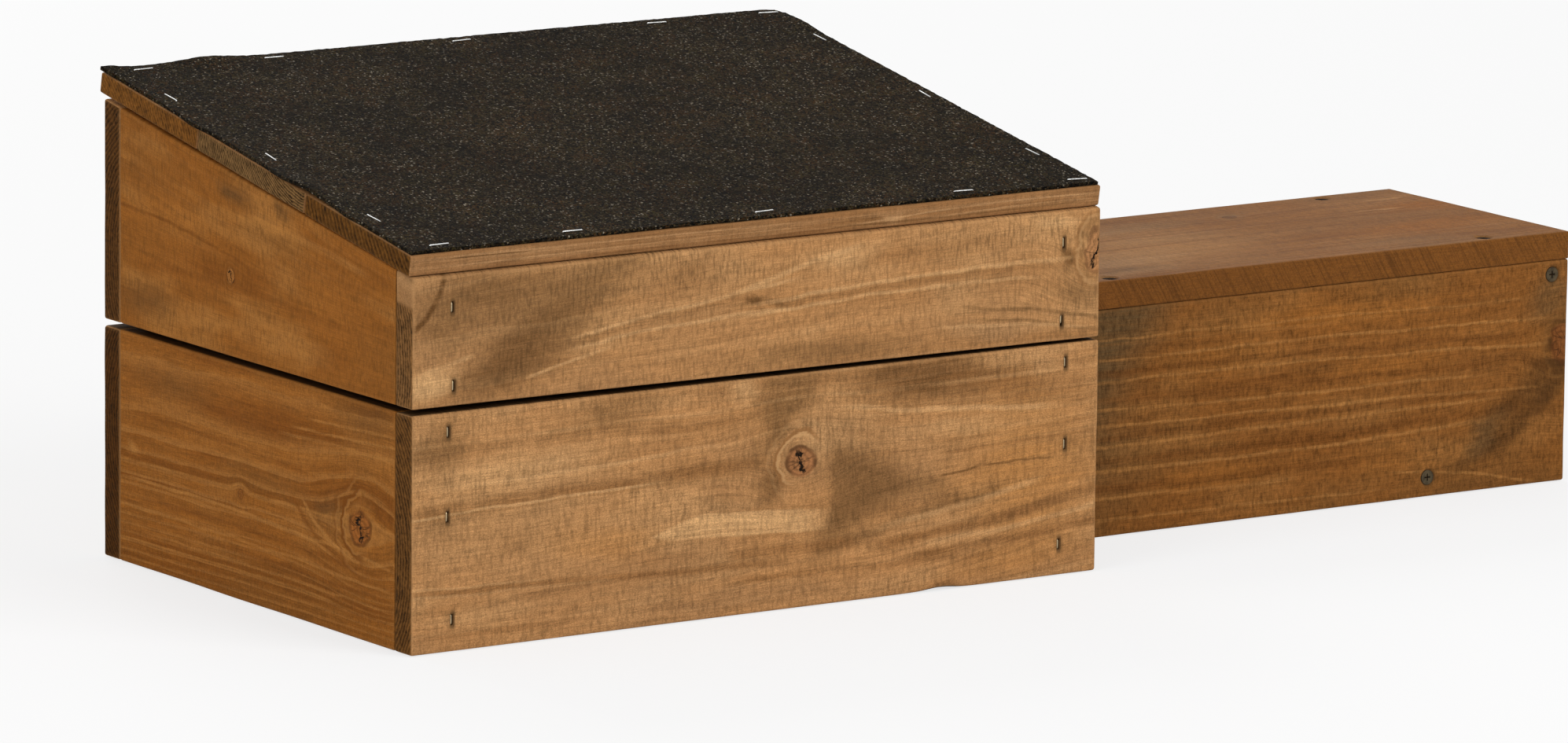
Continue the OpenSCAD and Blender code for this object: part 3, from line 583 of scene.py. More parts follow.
frontLower = {
    "name": "front_lower", "slot": "front_wood",
    "size": (400, 116, 15), "start": (0, 0, 0), "turn": (right, up, back),
    # The last mark has no depth: it darkens the chip's edge with painted shade and brings lines to it
    "marks": stapleMarks(stapleRows["frontLevels"], 0, 116) + [(1, 0, 307, 0, 11, 3, 0, 2)],
    "chip": {"at": 307, "half": 10, "deep": 4, "rise": 1.3, "fade": 7},
    "look": {
        "seed": 11, "tone": frontTone, "pith": (44, 78), "ring": 2.6, "boldRing": 12, "slant": 0.02, "wander": 14,
        "lateDepth": 0.12, "boldDepth": 0.25, "bandDepth": 0.5, "sawDepth": 0.3, "fuzzDepth": 1.4, "streakDepth": 0.5,
        "rim": slotShade,
        "eddies": [(400, 34, 130, 34, 15), (223, 86, 34, 12, 5)],
        "knots": [
            {"at": (223.7, 72.4), "half": (9, 9.2), "split": 0.8, "cleft": 12, "gape": 0.15,
             "collar": ("pale", 1.0, 1.4, 0.14), "swirl": 2.7, "hug": 1.0, "hugSide": (-0.7, 0.5), "outline": 0.85,
             "tone": (0.27, 0.112, 0.042)},
        ],
        "wedges": [
            ([(236, 60, 0, 9), (263, 80, 243, 16), (280, 38, 114, 20), (345, 58, 180, 90)], "smoke", 0.8),
            ([(134, 44, 286, 1.4), (134, 44, 74, 1.4), (188, 52, 267, 1.6), (188, 38.5, 87, 2), (246, 47, 180, 26)],
             "pale", 0.8),
        ],
        "ovals": [
            (266, 58, 34, 19, -28, "shadow", 0.45), (300, 51, 38, 12, -14, "smoke", 0.6),
            (244, 38, 30, 14, 42, "smoke", 0.8), (300, 106, 80, 19, -4, "shadow", 0.75),
            (352, 98, 60, 13, -9, "dark", 0.9), (214, 104, 30, 18, 24, "smoke", 0.85),
            (204, 88, 19, 11, 70, "smoke", 0.75), (205, 61, 16, 11, 35, "shadow", 0.6),
            (113, 107.5, 44, 12, 4, "smoke", 0.65), (15, 97, 24, 18, 0, "smoke", 0.75),
            (14, 60, 16, 10, 0, "smoke", 0.4), (59, 50, 18, 14, 0, "dark", 0.4), (110, 44, 46, 11, -5, "gold", 0.5),
            (60, 86, 70, 12, 2, "pale", 0.45), (330, 80, 64, 8, -1, "pale", 0.45), (388, 62, 14, 14, 0, "smoke", 0.4),
            (200, 8, 90, 9, 1, "grey", 0.5), (190, 110, 16, 8, 0, "pale", 0.5), (40, 16, 50, 9, 0, "pale", 0.3),
            # The shadow oval at 308 on the lower edge is painted shade in the chip
            (350, 12, 60, 9, 4, "gold", 0.5), (308, 0, 20, 5, 0, "shadow", 0.7), (356, 52, 64, 62, 0, "gold", 0.75),
            (70, 64, 96, 46, 0, "pale", 0.22),
        ],
        "strokes": [
            (-14, 66.5, 225, 74.5, 6, 1.6, "dark", 0.8), (-16, 64.5, 150, 70.4, 1.2, 0.6, "pale", 0.75),
            (-16, 31.2, 84, 28.6, 1.1, 0.3, "pale", 0.6), (-16, 27.6, 124, 25.1, 1.2, 0, "pale", 0.6),
            (-16, 29.6, 230, 23.6, 3.2, 0, "dark", 0.7), (240, 97.5, 384, 85.4, 2.2, -1.6, "pale", 0.55),
            (304, 57.4, 330, 60.2, 1.0, 0, "shadow", 0.7), (328, 60, 374, 58.9, 0.9, 0.4, "shadow", 0.6),
            (226, 26.5, 352, 49, 5, 0, "smoke", 0.75), (176, 30, 262, 29, 4.4, 0, "dark", 0.7),
            (258, 25.5, 412, 45.5, 4.4, -3.2, "dark", 0.95), (274, 17.6, 414, 27.2, 3.6, -1, "dark", 0.9),
            (176, 17.6, 340, 15.6, 3.2, 0, "dark", 0.7), (262, 34, 372, 51, 2.8, -1.5, "pale", 0.45),
            (290, 23.5, 414, 36, 2.4, -1.5, "pale", 0.45), (300, 68, 404, 71, 1.4, 0.5, "dark", 0.6),
            (300, 74, 408, 79, 1.2, -0.5, "dark", 0.5), (20, 78, 190, 86, 1.6, 0, "pale", 0.4),
        ],
    },
}
frontUpper = {
    "name": "front_upper", "slot": "front_wood",
    "size": (400, 63, 15), "start": (0, 0, 119), "turn": (right, up, back),
    "rise": 15 * math.tan(pitch), "taper": 1.6,
    "marks": stapleMarks(stapleRows["frontLevels"], 119, 182),
    "look": {
        "seed": 23, "tone": dict(frontTone, end=(0.135, 0.063, 0.02)), "pith": (18, 95), "boldRing": 10,
        "slant": 0.05, "wander": 12, "lateDepth": 0.12, "boldDepth": 0.2, "bandDepth": 0.5, "sawDepth": 0.33,
        "rim": slotShadeLow, "bareEnd": (47, 50),
        "eddies": [(400, 14, 60, 14, -9)],
        "knots": [
            {"at": (398, 42), "half": (8.6, 11.2), "split": 1.0, "cleft": -24, "gape": 0.13,
             "collar": ("smoke", 1.05, 1.9, 0.5), "swirl": 2.3, "hug": 0.8, "hugSide": (-0.5, 0), "ragged": 9,
             "tone": (0.33, 0.152, 0.06)},
        ],
        "ovals": [
            (60, 22, 60, 24, 28, "shadow", 0.85), (88, 38, 54, 24, 32, "smoke", 0.75),
            (40, 50, 64, 26, 6, "smoke", 0.85), (18, 36, 22, 18, 0, "smoke", 0.5), (96, 54, 56, 17, 10, "smoke", 0.6),
            (12, 11, 20, 12, 12, "pale", 0.85), (193.4, 35.2, 7, 4, 0, "shadow", 0.9),
            (208, 33, 19, 3, -6, "smoke", 0.75), (379, 38.4, 5.4, 10, 8, "shadow", 0.9),
            (372, 57.5, 18, 6, -16, "pale", 0.7), (232, 7.5, 76, 9, 1, "smoke", 0.6),
            (250, 52, 34, 11, 12, "pale", 0.5), (150, 52, 50, 12, 4, "dark", 0.5), (310, 50, 64, 10, 0, "dark", 0.4),
            (386, 22, 20, 12, -20, "smoke", 0.6), (330, 10, 50, 8, -4, "grey", 0.5),
        ],
        "strokes": [
            (-2, 36, 19, 70, 2.6, -5, "shadow", 1.0), (-6, 12.8, 36, 24, 2.0, 0, "pale", 0.6),
            (-6, 6.5, 28, 13, 1.8, 0, "pale", 0.6), (84, 25.6, 226, 44.8, 1.6, 0.9, "pale", 0.65),
            (182, 39, 262, 58, 2.2, 1, "pale", 0.6), (84, 21, 228, 30.3, 1.5, 2.2, "pale", 0.6),
            (62, 9.4, 114, 21.4, 1.3, 0, "pale", 0.5), (182, 31.8, 394, 39.4, 1.8, 3.4, "pale", 0.7),
            (174, 26.8, 372, 31.8, 1.5, 3.2, "pale", 0.6), (304, 22.6, 412, 7, 1.5, 2, "smoke", 0.7),
            (318, 16.5, 412, 0.5, 1.4, 1.6, "smoke", 0.6), (296, 12, 400, 5, 1.4, 2, "pale", 0.4),
            (182, 29.6, 394, 37, 3, 3.2, "dark", 0.5), (84, 23.4, 226, 41.6, 3, 1, "dark", 0.5),
        ],
    },
}
backLower = {
    "name": "back_lower", "slot": "front_wood",
    "size": (400, 116, 15), "start": (0, 285, 0), "turn": (right, up, -back),
    "marks": stapleMarks(stapleRows["backLevels"], 0, 116),
    "look": {
        "seed": 37, "tone": dict(backTone, end=(0.047, 0.017, 0.0032)), "pith": (70, 85), "ring": 2.5, "slant": -0.02,
        "bandDepth": 0.65, "rim": slotShade,
        "knots": [{"at": (128, 44), "half": (7.5, 8.5)}, {"at": (322, 88), "half": (4.2, 4.6), "split": 0.3}],
        "ovals": [
            (150, 40, 40, 14, 12, "smoke", 0.5), (300, 30, 70, 8, -3, "pale", 0.4), (60, 95, 50, 9, 2, "dark", 0.6),
        ],
        "strokes": [
            (20, 60, 390, 66, 1.0, 3, "pale", 0.5), (10, 24, 330, 20, 1.0, -2, "pale", 0.5),
            (150, 74, 400, 70, 3, 2, "dark", 0.5),
        ],
    },
}
backUpper = {
    "name": "back_upper", "slot": "front_wood",
    "size": (400, 110.192, 15), "start": (0, 285, 119), "turn": (right, up, -back),
    "rise": -15 * math.tan(pitch), "taper": 0,
    "marks": stapleMarks(stapleRows["backLevels"], 119, 229),
    "look": {
        "seed": 41, "tone": backTone, "pith": (35, 80), "slant": 0.025, "bandDepth": 0.6, "rim": slotShadeLow,
        "knots": [{"at": (262, 58), "half": (6.4, 7.2)}],
        "ovals": [
            (285, 52, 30, 14, -15, "smoke", 0.5), (90, 80, 60, 9, 3, "dark", 0.5), (180, 20, 60, 8, 2, "pale", 0.4),
        ],
        "strokes": [
            (0, 42, 240, 50, 1.0, 2, "pale", 0.5), (40, 90, 400, 96, 1.1, -3, "pale", 0.45),
            (20, 30, 380, 26, 3, 0, "dark", 0.5),
        ],
    },
}


# Top edge cut parallel to the roof: height grows with depth, and the lower edge may taper along the board
def slopedTop(values):
    length, width, thick = values["size"]

    def shape(points):
        share = points[:, 1] / width
        points[:, 1] += share * values["rise"] * points[:, 2] / thick
        points[:, 1] -= (1 - share) * values["taper"] * points[:, 0] / length
        return points
    return shape


# Chip in the lower edge: the edge rises by a bell along the board that fades inwards and upwards
def chippedEdge(points):
    chip = frontLower["chip"]
    hill = np.exp(-((points[:, 0] - chip["at"]) / chip["half"]) ** 2 - (points[:, 2] / chip["deep"]) ** 2)
    points[:, 1] += chip["rise"] * hill * np.clip(1 - points[:, 1] / chip["fade"], 0, 1)
    return points


frontLower["shape"] = chippedEdge
frontUpper["shape"] = slopedTop(frontUpper)
backUpper["shape"] = slopedTop(backUpper)
for values in (frontLower, frontUpper, backLower, backUpper):
    makeBoard(values)
print("front and back walls made")

# Side walls: boards between the front and back boards, the upper ones with a sloping top

leftLower = {
    "name": "left_lower", "slot": "side_wood",
    "size": (255, 116, 15), "start": (0, 15, 0), "turn": (back, up, right),
    "look": {
        "seed": 53, "tone": sideTone, "pith": (96, 70), "ring": 3.4, "boldRing": 9, "slant": -0.01, "wander": 10,
        "lateDepth": 0.5, "boldDepth": 0.6, "sawDepth": 0.14, "rim": slotShade, "relief": 0.8,
        "eddies": [(16, 28, 42, 16, -5), (14, 92, 40, 14, 5)],
        "knots": [
            {"at": (29, 55), "half": (10.4, 10), "split": 1.0, "cleft": -15, "gape": 0.12,
             "collar": ("pale", 1.0, 1.5, 0.3), "swirl": 3.2, "hug": 1.1, "hugSide": (0.5, 0), "pull": 0.95,
             "ragged": 15},
            {"at": (140.2, 52.6), "half": (2.4, 2.8), "split": 0.3, "depth": 0.5, "collar": ("dark", 1.0, 1.8, 0.3),
             "ragged": 1},
        ],
        "ovals": [
            (56, 56, 34, 14, 0, "smoke", 0.65), (120, 92, 110, 13, -3, "dark", 0.6),
            (24, 108, 40, 13, 0, "shadow", 0.6), (243, 59, 11, 4.4, 20, "pale", 0.7),
            (120, 62, 54, 12, 4, "grey", 0.5), (205, 98, 54, 14, 0, "smoke", 0.45), (150, 30, 90, 10, 0, "gold", 0.5),
            (210, 66, 44, 10, 0, "gold", 0.4),
        ],
        "strokes": [
            (32, 37.5, 86, 62, 1.8, -5.5, "pale", 0.8), (28, 33, 96, 62, 2.2, -6.5, "dark", 0.6),
            (-20, 36.6, 276, 42, 1.4, 4.5, "pale", 0.7), (-20, 26.4, 276, 28.8, 1.3, 2.2, "pale", 0.6),
            (-16, 98.6, 98, 93, 1.2, 0, "pale", 0.6), (-16, 92, 110, 88.5, 1.2, 0.5, "pale", 0.5),
            (-16, 104, 84, 99.5, 1.2, 0, "pale", 0.5), (-10, 17.5, 240, 18, 1.2, 1, "pale", 0.5),
            (-10, 22, 200, 23, 2, 1.5, "dark", 0.6), (-10, 32, 240, 34.5, 2.2, 3, "dark", 0.6),
            (-10, 12, 180, 11, 1.8, 1, "dark", 0.5), (60, 72, 260, 76, 2, 2, "dark", 0.5),
        ],
    },
}
sideTop = {"front": 184.485 - 119, "back": 226.706 - 119, "level": 100, "long": 255}
leftUpper = {
    "name": "left_upper", "slot": "side_wood",
    "size": (255, 100, 15), "start": (0, 15, 119), "turn": (back, up, right),
    "look": {
        "seed": 67, "tone": sideTone, "pith": (20, 130), "ring": 3.0, "boldRing": 16, "lateDepth": 0.08,
        "boldDepth": 0.15, "bandDepth": 0.3, "sawDepth": 0.25, "patchDepth": 0.35, "fibreDepth": 0.8,
        "streakDepth": 0.4, "glowDepth": 0.7, "rim": slotShadeLow,
        "knots": [
            {"at": (150.2, 44), "half": (4.2, 5), "split": 0.3, "depth": 0.8, "outline": 1.0, "cleft": -28,
             "tone": (0.33, 0.13, 0.03), "collar": ("dark", 1.0, 2.0, 0.6), "pull": 0.4, "ragged": 5},
        ],
        "ovals": [
            (148, 90, 24, 7, -3, "smoke", 0.8), (100, 97, 14, 8, 0, "smoke", 0.8), (168, 45, 30, 10, 0, "dark", 0.5),
            (133, 47, 28, 10, 4, "dark", 0.5), (110, 76, 50, 10, -5, "grey", 0.45), (60, 18, 26, 14, 0, "dark", 0.4),
            (205, 62, 50, 22, 0, "gold", 0.7), (230, 15, 44, 14, 0, "smoke", 0.5), (60, 50, 40, 20, 0, "gold", 0.6),
        ],
        "strokes": [
            (126, 52, 276, 54, 1.4, 4, "dark", 0.7), (20, 84, 140, 80, 4.4, 2, "pale", 0.5),
            (20, 40, 250, 30, 3.4, 4, "dark", 0.4),
        ],
    },
}
rightUpper = {
    "name": "right_upper", "slot": "side_wood",
    "size": (255, 100, 15), "start": (400, 15, 119), "turn": (back, up, -right),
    "look": {
        "seed": 71, "tone": sideTone, "pith": (60, 90), "ring": 2.6, "slant": 0.02, "rim": slotShadeLow,
        "knots": [{"at": (188, 44), "half": (6, 7)}, {"at": (70, 30), "half": (3, 3.4), "split": 0.3}],
        "ovals": [(205, 44, 28, 12, 0, "smoke", 0.4), (100, 60, 60, 8, 3, "dark", 0.4)],
        "strokes": [
            (0, 62, 250, 70, 1.0, 3, "pale", 0.5), (0, 20, 250, 16, 1.0, 2, "pale", 0.45),
            (10, 80, 240, 84, 2.4, 2, "dark", 0.45),
        ],
    },
}


# Sloping top: heights are scaled along the board from the front value to the back value
def slopedSide(points):
    top = sideTop["front"] + (sideTop["back"] - sideTop["front"]) * points[:, 0] / sideTop["long"]
    points[:, 1] *= top / sideTop["level"]
    return points


leftUpper["shape"] = rightUpper["shape"] = slopedSide
# Sunk seat of a screw: half length, half width, depth and the power of its outline
screwSeat = (3.95, 3.95, 1.25, 2)
rightFrontStub = {
    "name": "right_front_stub", "slot": "side_wood",
    "size": (66, 116, 15), "start": (400, 15, 0), "turn": (back, up, -right),
    "marks": [(2, 1, 58.5, z, *screwSeat) for z in (30, 90)],
    "look": {
        "seed": 73, "tone": sideTone, "pith": (40, 70), "ring": 2.3, "rim": slotShade,
        "ovals": [(30, 60, 30, 14, 0, "smoke", 0.3)],
    },
}
rightBackStub = {
    "name": "right_back_stub", "slot": "side_wood",
    "size": (66, 116, 15), "start": (400, 204, 0), "turn": (back, up, -right),
    "marks": [(2, 1, 7.5, z, *screwSeat) for z in (30, 90)],
    "look": {
        "seed": 79, "tone": sideTone, "pith": (90, 65), "rim": slotShade,
        "knots": [{"at": (40, 50), "half": (4.5, 5)}],
    },
}
for values in (leftLower, leftUpper, rightUpper, rightFrontStub, rightBackStub):
    makeBoard(values)
print("side walls made")

# Corner posts, standing inside the walls

cornerPosts = {
    "slot": "post_wood", "side": 20, "ease": 1.3,
    "rows": (("front", 15, "frontPostTop", "frontInner", 83), ("back", 250, "backPostTop", "backInner", 97)),
    "columns": (("left", 15, 1), ("right", 365, 0)),
    "look": dict(battenLook, pith=(34, 30), ring=2.2),
}
for row, y, topKey, innerKey, seed in cornerPosts["rows"]:
    for side, x, faceSide in cornerPosts["columns"]:
        thick = cornerPosts["side"]
        halfLong, halfWide, *pressed = stapleRows["slot"]
        makeBoard({
            "name": f"{row}_{side}_corner", "node": f"{row}_{side}_post", "slot": cornerPosts["slot"],
            "size": (house[topKey], thick, thick), "start": (x, y, 0), "turn": (up, right, back),
            "ease": cornerPosts["ease"],
            "marks": [(1, faceSide, z, thick / 2, halfWide, halfLong, *pressed) for z in stapleRows[innerKey]],
            "look": dict(cornerPosts["look"], seed=seed + faceSide),
        })
print("posts made")

# Tunnel: two walls, a top board, a header at the mouth and a tie on the ground

wallScrews = ((335, 108.5), (257, 10))
tunnelFront = {
    "name": "tunnel_front", "node": "tunnel_front_wall", "slot": "tunnel_wood",
    "size": (345, 116, 15), "start": (400, 66, 0), "turn": (right, up, back),
    "marks": [(2, 0, x, z, *screwSeat) for x, z in wallScrews],
    "look": {
        "seed": 101, "tone": tunnelTone, "pith": (12, 100), "ring": 3.2, "wander": 8, "lateDepth": 0.08,
        "boldDepth": 0.2, "bandDepth": 0.6, "sawDepth": 0.26, "fleckDepth": 1.1, "mottleDepth": 0.4, "glowDepth": 0.4,
        "eddies": [(320, 40, 40, 30, 8)],
        "knots": [
            {"at": (342.5, 72), "half": (8, 11), "split": 0.5, "collar": ("shadow", 0.9, 1.9, 0.7), "swirl": 2.0,
             "hug": 0.4, "hugSide": (-0.5, 0), "ragged": 12},
        ],
        # The wedge and the wide oval at the left end, at 36 along, are painted shadow of the house on the tunnel's
        # front
        "wedges": [([(96, 96, 142, 34), (0, 0, 75, 70)], "smoke", 0.95)],
        "ovals": [
            (310, 44, 38, 14, 44, "shadow", 0.65), (292, 28, 24, 12, 40, "smoke", 0.7),
            (332, 96, 20, 18, 0, "smoke", 0.6), (332, 50, 18, 24, 0, "shadow", 0.6),
            (120, 24, 50, 11, 2, "gold", 0.7), (200, 100, 100, 15, -1, "gold", 0.6),
            (120, 84, 60, 16, 0, "gold", 0.5), (190, 40, 90, 12, 0, "dark", 0.5), (36, 50, 56, 70, 0, "smoke", 0.6),
            (230, 70, 60, 14, 0, "gold", 0.5), (230, 22, 40, 12, 0, "gold", 0.4),
        ],
        "strokes": [
            (20, 89.6, 356, 85.6, 1.3, 1.8, "pale", 0.65), (20, 78.4, 356, 71.4, 1.3, 2.8, "pale", 0.62),
            (20, 66.4, 306, 60.6, 1.3, -1.5, "pale", 0.62), (20, 56.8, 340, 51, 1.3, 0.4, "pale", 0.7),
            (20, 45, 316, 47.4, 1.4, 0.6, "pale", 0.62), (20, 33.8, 306, 36.8, 1.6, -2, "pale", 0.68),
            (20, 20, 178, 17.4, 1.6, 0, "pale", 0.62), (228, 15.4, 330, 0.5, 1.2, 2, "pale", 0.6),
            (20, 8, 240, 6, 1.3, 1, "pale", 0.6), (20, 100.6, 340, 97, 1.1, 1, "pale", 0.5),
            (20, 82.5, 340, 77.5, 3, 2.4, "dark", 0.6), (20, 70, 320, 65, 3, 0, "dark", 0.55),
            (20, 49.5, 320, 51, 2.8, 0.6, "dark", 0.55), (20, 38, 310, 40.5, 3, -1, "dark", 0.6),
            (20, 25, 250, 24, 3.4, -1, "dark", 0.6), (288, 14, 352, 76, 8, -8, "shadow", 0.5),
            (262, 10, 347, 62, 7, -8, "shadow", 0.4),
        ],
    },
}
tunnelBack = {
    "name": "tunnel_back", "node": "tunnel_back_wall", "slot": "tunnel_wood",
    "size": (345, 116, 15), "start": (400, 219, 0), "turn": (right, up, -back),
    "marks": [(2, 0, x, z, *screwSeat) for x, z in wallScrews],
    "look": {
        "seed": 107, "tone": tunnelTone, "pith": (80, 80), "ring": 2.6, "slant": -0.02, "bandDepth": 0.5,
        "fleckDepth": 0.9, "mottleDepth": 0.4,
        "knots": [{"at": (120, 66), "half": (7, 8)}, {"at": (250, 34), "half": (4, 4.4), "split": 0.3}],
        "ovals": [(140, 60, 40, 14, -10, "smoke", 0.5), (300, 80, 50, 12, 3, "dark", 0.5)],
        "strokes": [
            (0, 90, 345, 84, 0.9, 2, "pale", 0.6), (0, 48, 345, 52, 0.9, 3, "pale", 0.6),
            (0, 22, 345, 18, 0.9, 1, "pale", 0.5),
        ],
    },
}
tunnelTop = {
    "name": "tunnel_top", "slot": "tunnel_wood",
    "size": (345, 153, 14.5), "start": (400, 66, 130.5), "turn": (right, back, -up), "ease": 1.0,
    "marks": [(2, 0, x, y, *screwSeat) for x in (59, 295) for y in (7.5, 145.5)],
    "look": {
        "seed": 113, "tone": topTone, "pith": (60, 90), "ring": 2.8, "slant": 0.02, "lateDepth": 0.06,
        "bandDepth": 0.6, "streakDepth": 0.3, "glowDepth": 0.15, "sawLean": 0.6, "fibreDepth": 0.7,
        "gloss": 0.07, "rim": ((0.152, 0.055, 0.0095), 1.0, -2, -1, -2, -1), "wearAndHighlightDepth": 0.1,
        "knots": [
            {"at": (218, 123), "half": (4.6, 3.8), "split": 0.3, "collar": ("grey", 1.0, 2.6, 0.8), "depth": 0.6,
             "tone": (0.1, 0.045, 0.016)},
        ],
        "ovals": [
            # The smoke ovals at the front left are partly a grey stain and partly painted sheen; the broad pale oval is
            # painted sheen
            (92, 42, 60, 34, 20, "smoke", 0.75), (70, 14, 50, 14, 8, "smoke", 0.8),
            (138, 118, 70, 16, 5, "grey", 0.6), (290, 50, 70, 24, 6, "gold", 0.6), (330, 104, 40, 22, 0, "gold", 0.6),
            (125, 70, 95, 84, 4, "pale", 0.42), (80, 23, 28, 9, 6, "shadow", 0.4),
            (298, 103, 30, 2.2, 4, "pale", 0.45), (322, 128, 20, 2, 4, "pale", 0.4),
            (230, 20, 60, 10, 2, "smoke", 0.3),
        ],
        "strokes": [
            (60, 70, 340, 76, 3, 2, "dark", 0.4), (60, 96, 345, 92, 3, 2, "dark", 0.4),
            (120, 28, 345, 34, 2.4, 1, "dark", 0.35),
        ],
    },
}
mouthHeader = {
    "name": "mouth_header", "node": "tunnel_mouth_header", "slot": "batten_wood",
    "size": (123, 15, 20), "start": (745, 81, 101), "turn": (back, up, -right), "ease": 1.1,
    "look": dict(battenLook, seed=127, pith=(30, 40), ring=2.0),
}
groundTie = {
    "name": "ground_tie", "node": "tunnel_tie", "slot": "batten_wood",
    "size": (123, 20, 15), "start": (664.5, 81, 0), "turn": (back, up, -right), "ease": 1.1,
    "look": dict(battenLook, seed=131, pith=(-8, 30), ring=2.0),
}
for values in (tunnelFront, tunnelBack, tunnelTop, mouthHeader, groundTie):
    makeBoard(values)
print("tunnel made")

# Roof: three boards up the slope and two cleats under them

roofBoards = {
    "rows": (("front", 2.03, 98.03), ("middle", 98.43, 198.56), ("back", 198.96, 291.96)), "left": -1, "long": 401,
    "look": {"bandDepth": 0.6, "wander": 9, "wobble": 1.0, "sawDepth": 0.09, "wearAndHighlightDepth": 0.25},
    "front": {
        "seed": 139, "pith": (-70, 90), "ring": 3.2, "edgeFace": True, "lineDrift": (0, 0.6, 0),
        "tone": dict(roofTone, end=(0.085, 0.034, 0.006)), "endRings": 0.5,
        "ovals": [
            (258, 6, 14, 5, 0, "shadow", 0.5), (274, 6, 9, 4.4, 0, "pale", 0.75), (60, 6, 60, 6, 0, "pale", 0.25),
            (392, 6, 10, 6, 0, "dark", 0.5),
        ],
        "strokes": [
            (250, 2.6, 402, 6.6, 0.7, 2.2, "pale", 0.8), (290, 1.6, 402, 4.2, 0.6, 1.4, "pale", 0.6),
            (230, 3.2, 400, 3.4, 1.0, -0.8, "shadow", 0.6), (20, 7.4, 70, 7.0, 0.5, 0, "shadow", 0.8),
            (20, 3.2, 240, 4.6, 0.6, 0.8, "pale", 0.45), (0, 8.4, 230, 7.4, 0.6, 0, "pale", 0.4),
            (90, 2.0, 250, 2.2, 0.8, 0, "dark", 0.6),
        ],
    },
    "middle": {
        "seed": 149, "pith": (4, 52), "ring": 1.7, "tone": dict(roofTone, end=(0.115, 0.062, 0.022)), "endRings": 0.9,
    },
    "back": {
        "seed": 151, "pith": (150, -80), "ring": 2.3, "tone": dict(roofTone, end=(0.14, 0.054, 0.0095)),
        "endRings": 0.3,
    },
}
for row, low, high in roofBoards["rows"]:
    makeBoard({
        "name": f"roof_{row}", "body": "roof", "slot": "roof_wood", "ease": 1.3,
        "size": (roofBoards["long"], high - low, house["roofThick"]), "start": onRoof(roofBoards["left"], low, 0),
        "turn": (right, slope, square), "look": dict(roofBoards["look"], **roofBoards[row]),
    })
roofCleats = {
    "low": 27.4, "high": 261.81, "left": 60, "right": 320, "wide": 20, "thick": 15, "fromEnd": 18,
    "seeds": (("left", 157), ("right", 163)),
}
# Two staples in each roof board: a set distance from both ends of the cleat's part under it
roofCleats["staples"] = []
for row, low, high in roofBoards["rows"]:
    roofCleats["staples"].append(max(low, roofCleats["low"]) + roofCleats["fromEnd"])
    roofCleats["staples"].append(min(high, roofCleats["high"]) - roofCleats["fromEnd"])
for side, seed in roofCleats["seeds"]:
    low, wide = roofCleats["low"], roofCleats["wide"]
    makeBoard({
        "name": f"roof_{side}_batten", "node": f"roof_{side}_cleat", "body": "roof", "slot": "batten_wood",
        "size": (roofCleats["high"] - low, wide, roofCleats["thick"]), "start": onRoof(roofCleats[side], low, 0),
        "turn": (slope, right, -square), "ease": 1.2,
        "marks": [(2, 1, u - low, wide / 2, *stapleRows["slot"]) for u in roofCleats["staples"]],
        "look": dict(battenLook, seed=seed, pith=(30, 34), ring=2.1),
    })
print("roof boards made")

# Roofing felt: a flat sheet that lies on the boards, with a frayed outline and a few lifted places at its edges

felt = {
    "name": "felt_sheet", "node": "roof_felt", "body": "roof", "slot": "felt", "seed": 173,
    "left": -0.7, "right": 399.5, "low": 2.53, "high": 291.46, "thick": 1.8, "step": 2.3, "ease": 0.45,
    "rimRows": np.array((0.35, 0.9)), "layers": np.array((0, 0.3, 0.9, 1.5, 1.8)), "grit": 0.2, "gritFrom": 0.9,
    "fray": 0.75, "frayReach": 1.5, "waves": (9, 9, 9), "fineWaves": (1.6, 1.6, 9), "fineShare": 0.6,
    "cornerCut": 9, "cutShare": 0.32, "tip": 2.6, "tipReach": (7, 9),
    "tongues": ((205, 10, 1.7), (118, 14, 2.1), (60, 8, 1.2)), "tongueReach": 3,
    "lifts": (
        (2, 291, 9, 9, 1.5), (58, 291.5, 17, 13, 1.9), (2, 100, 8, 24, 1.5), (399, 265, 10, 12, 0.9),
        (150, 2.5, 24, 5, 0.5), (260, 2.5, 20, 5, 0.4),
    ),
    "rests": ["roof_front", "roof_middle", "roof_back"],
}


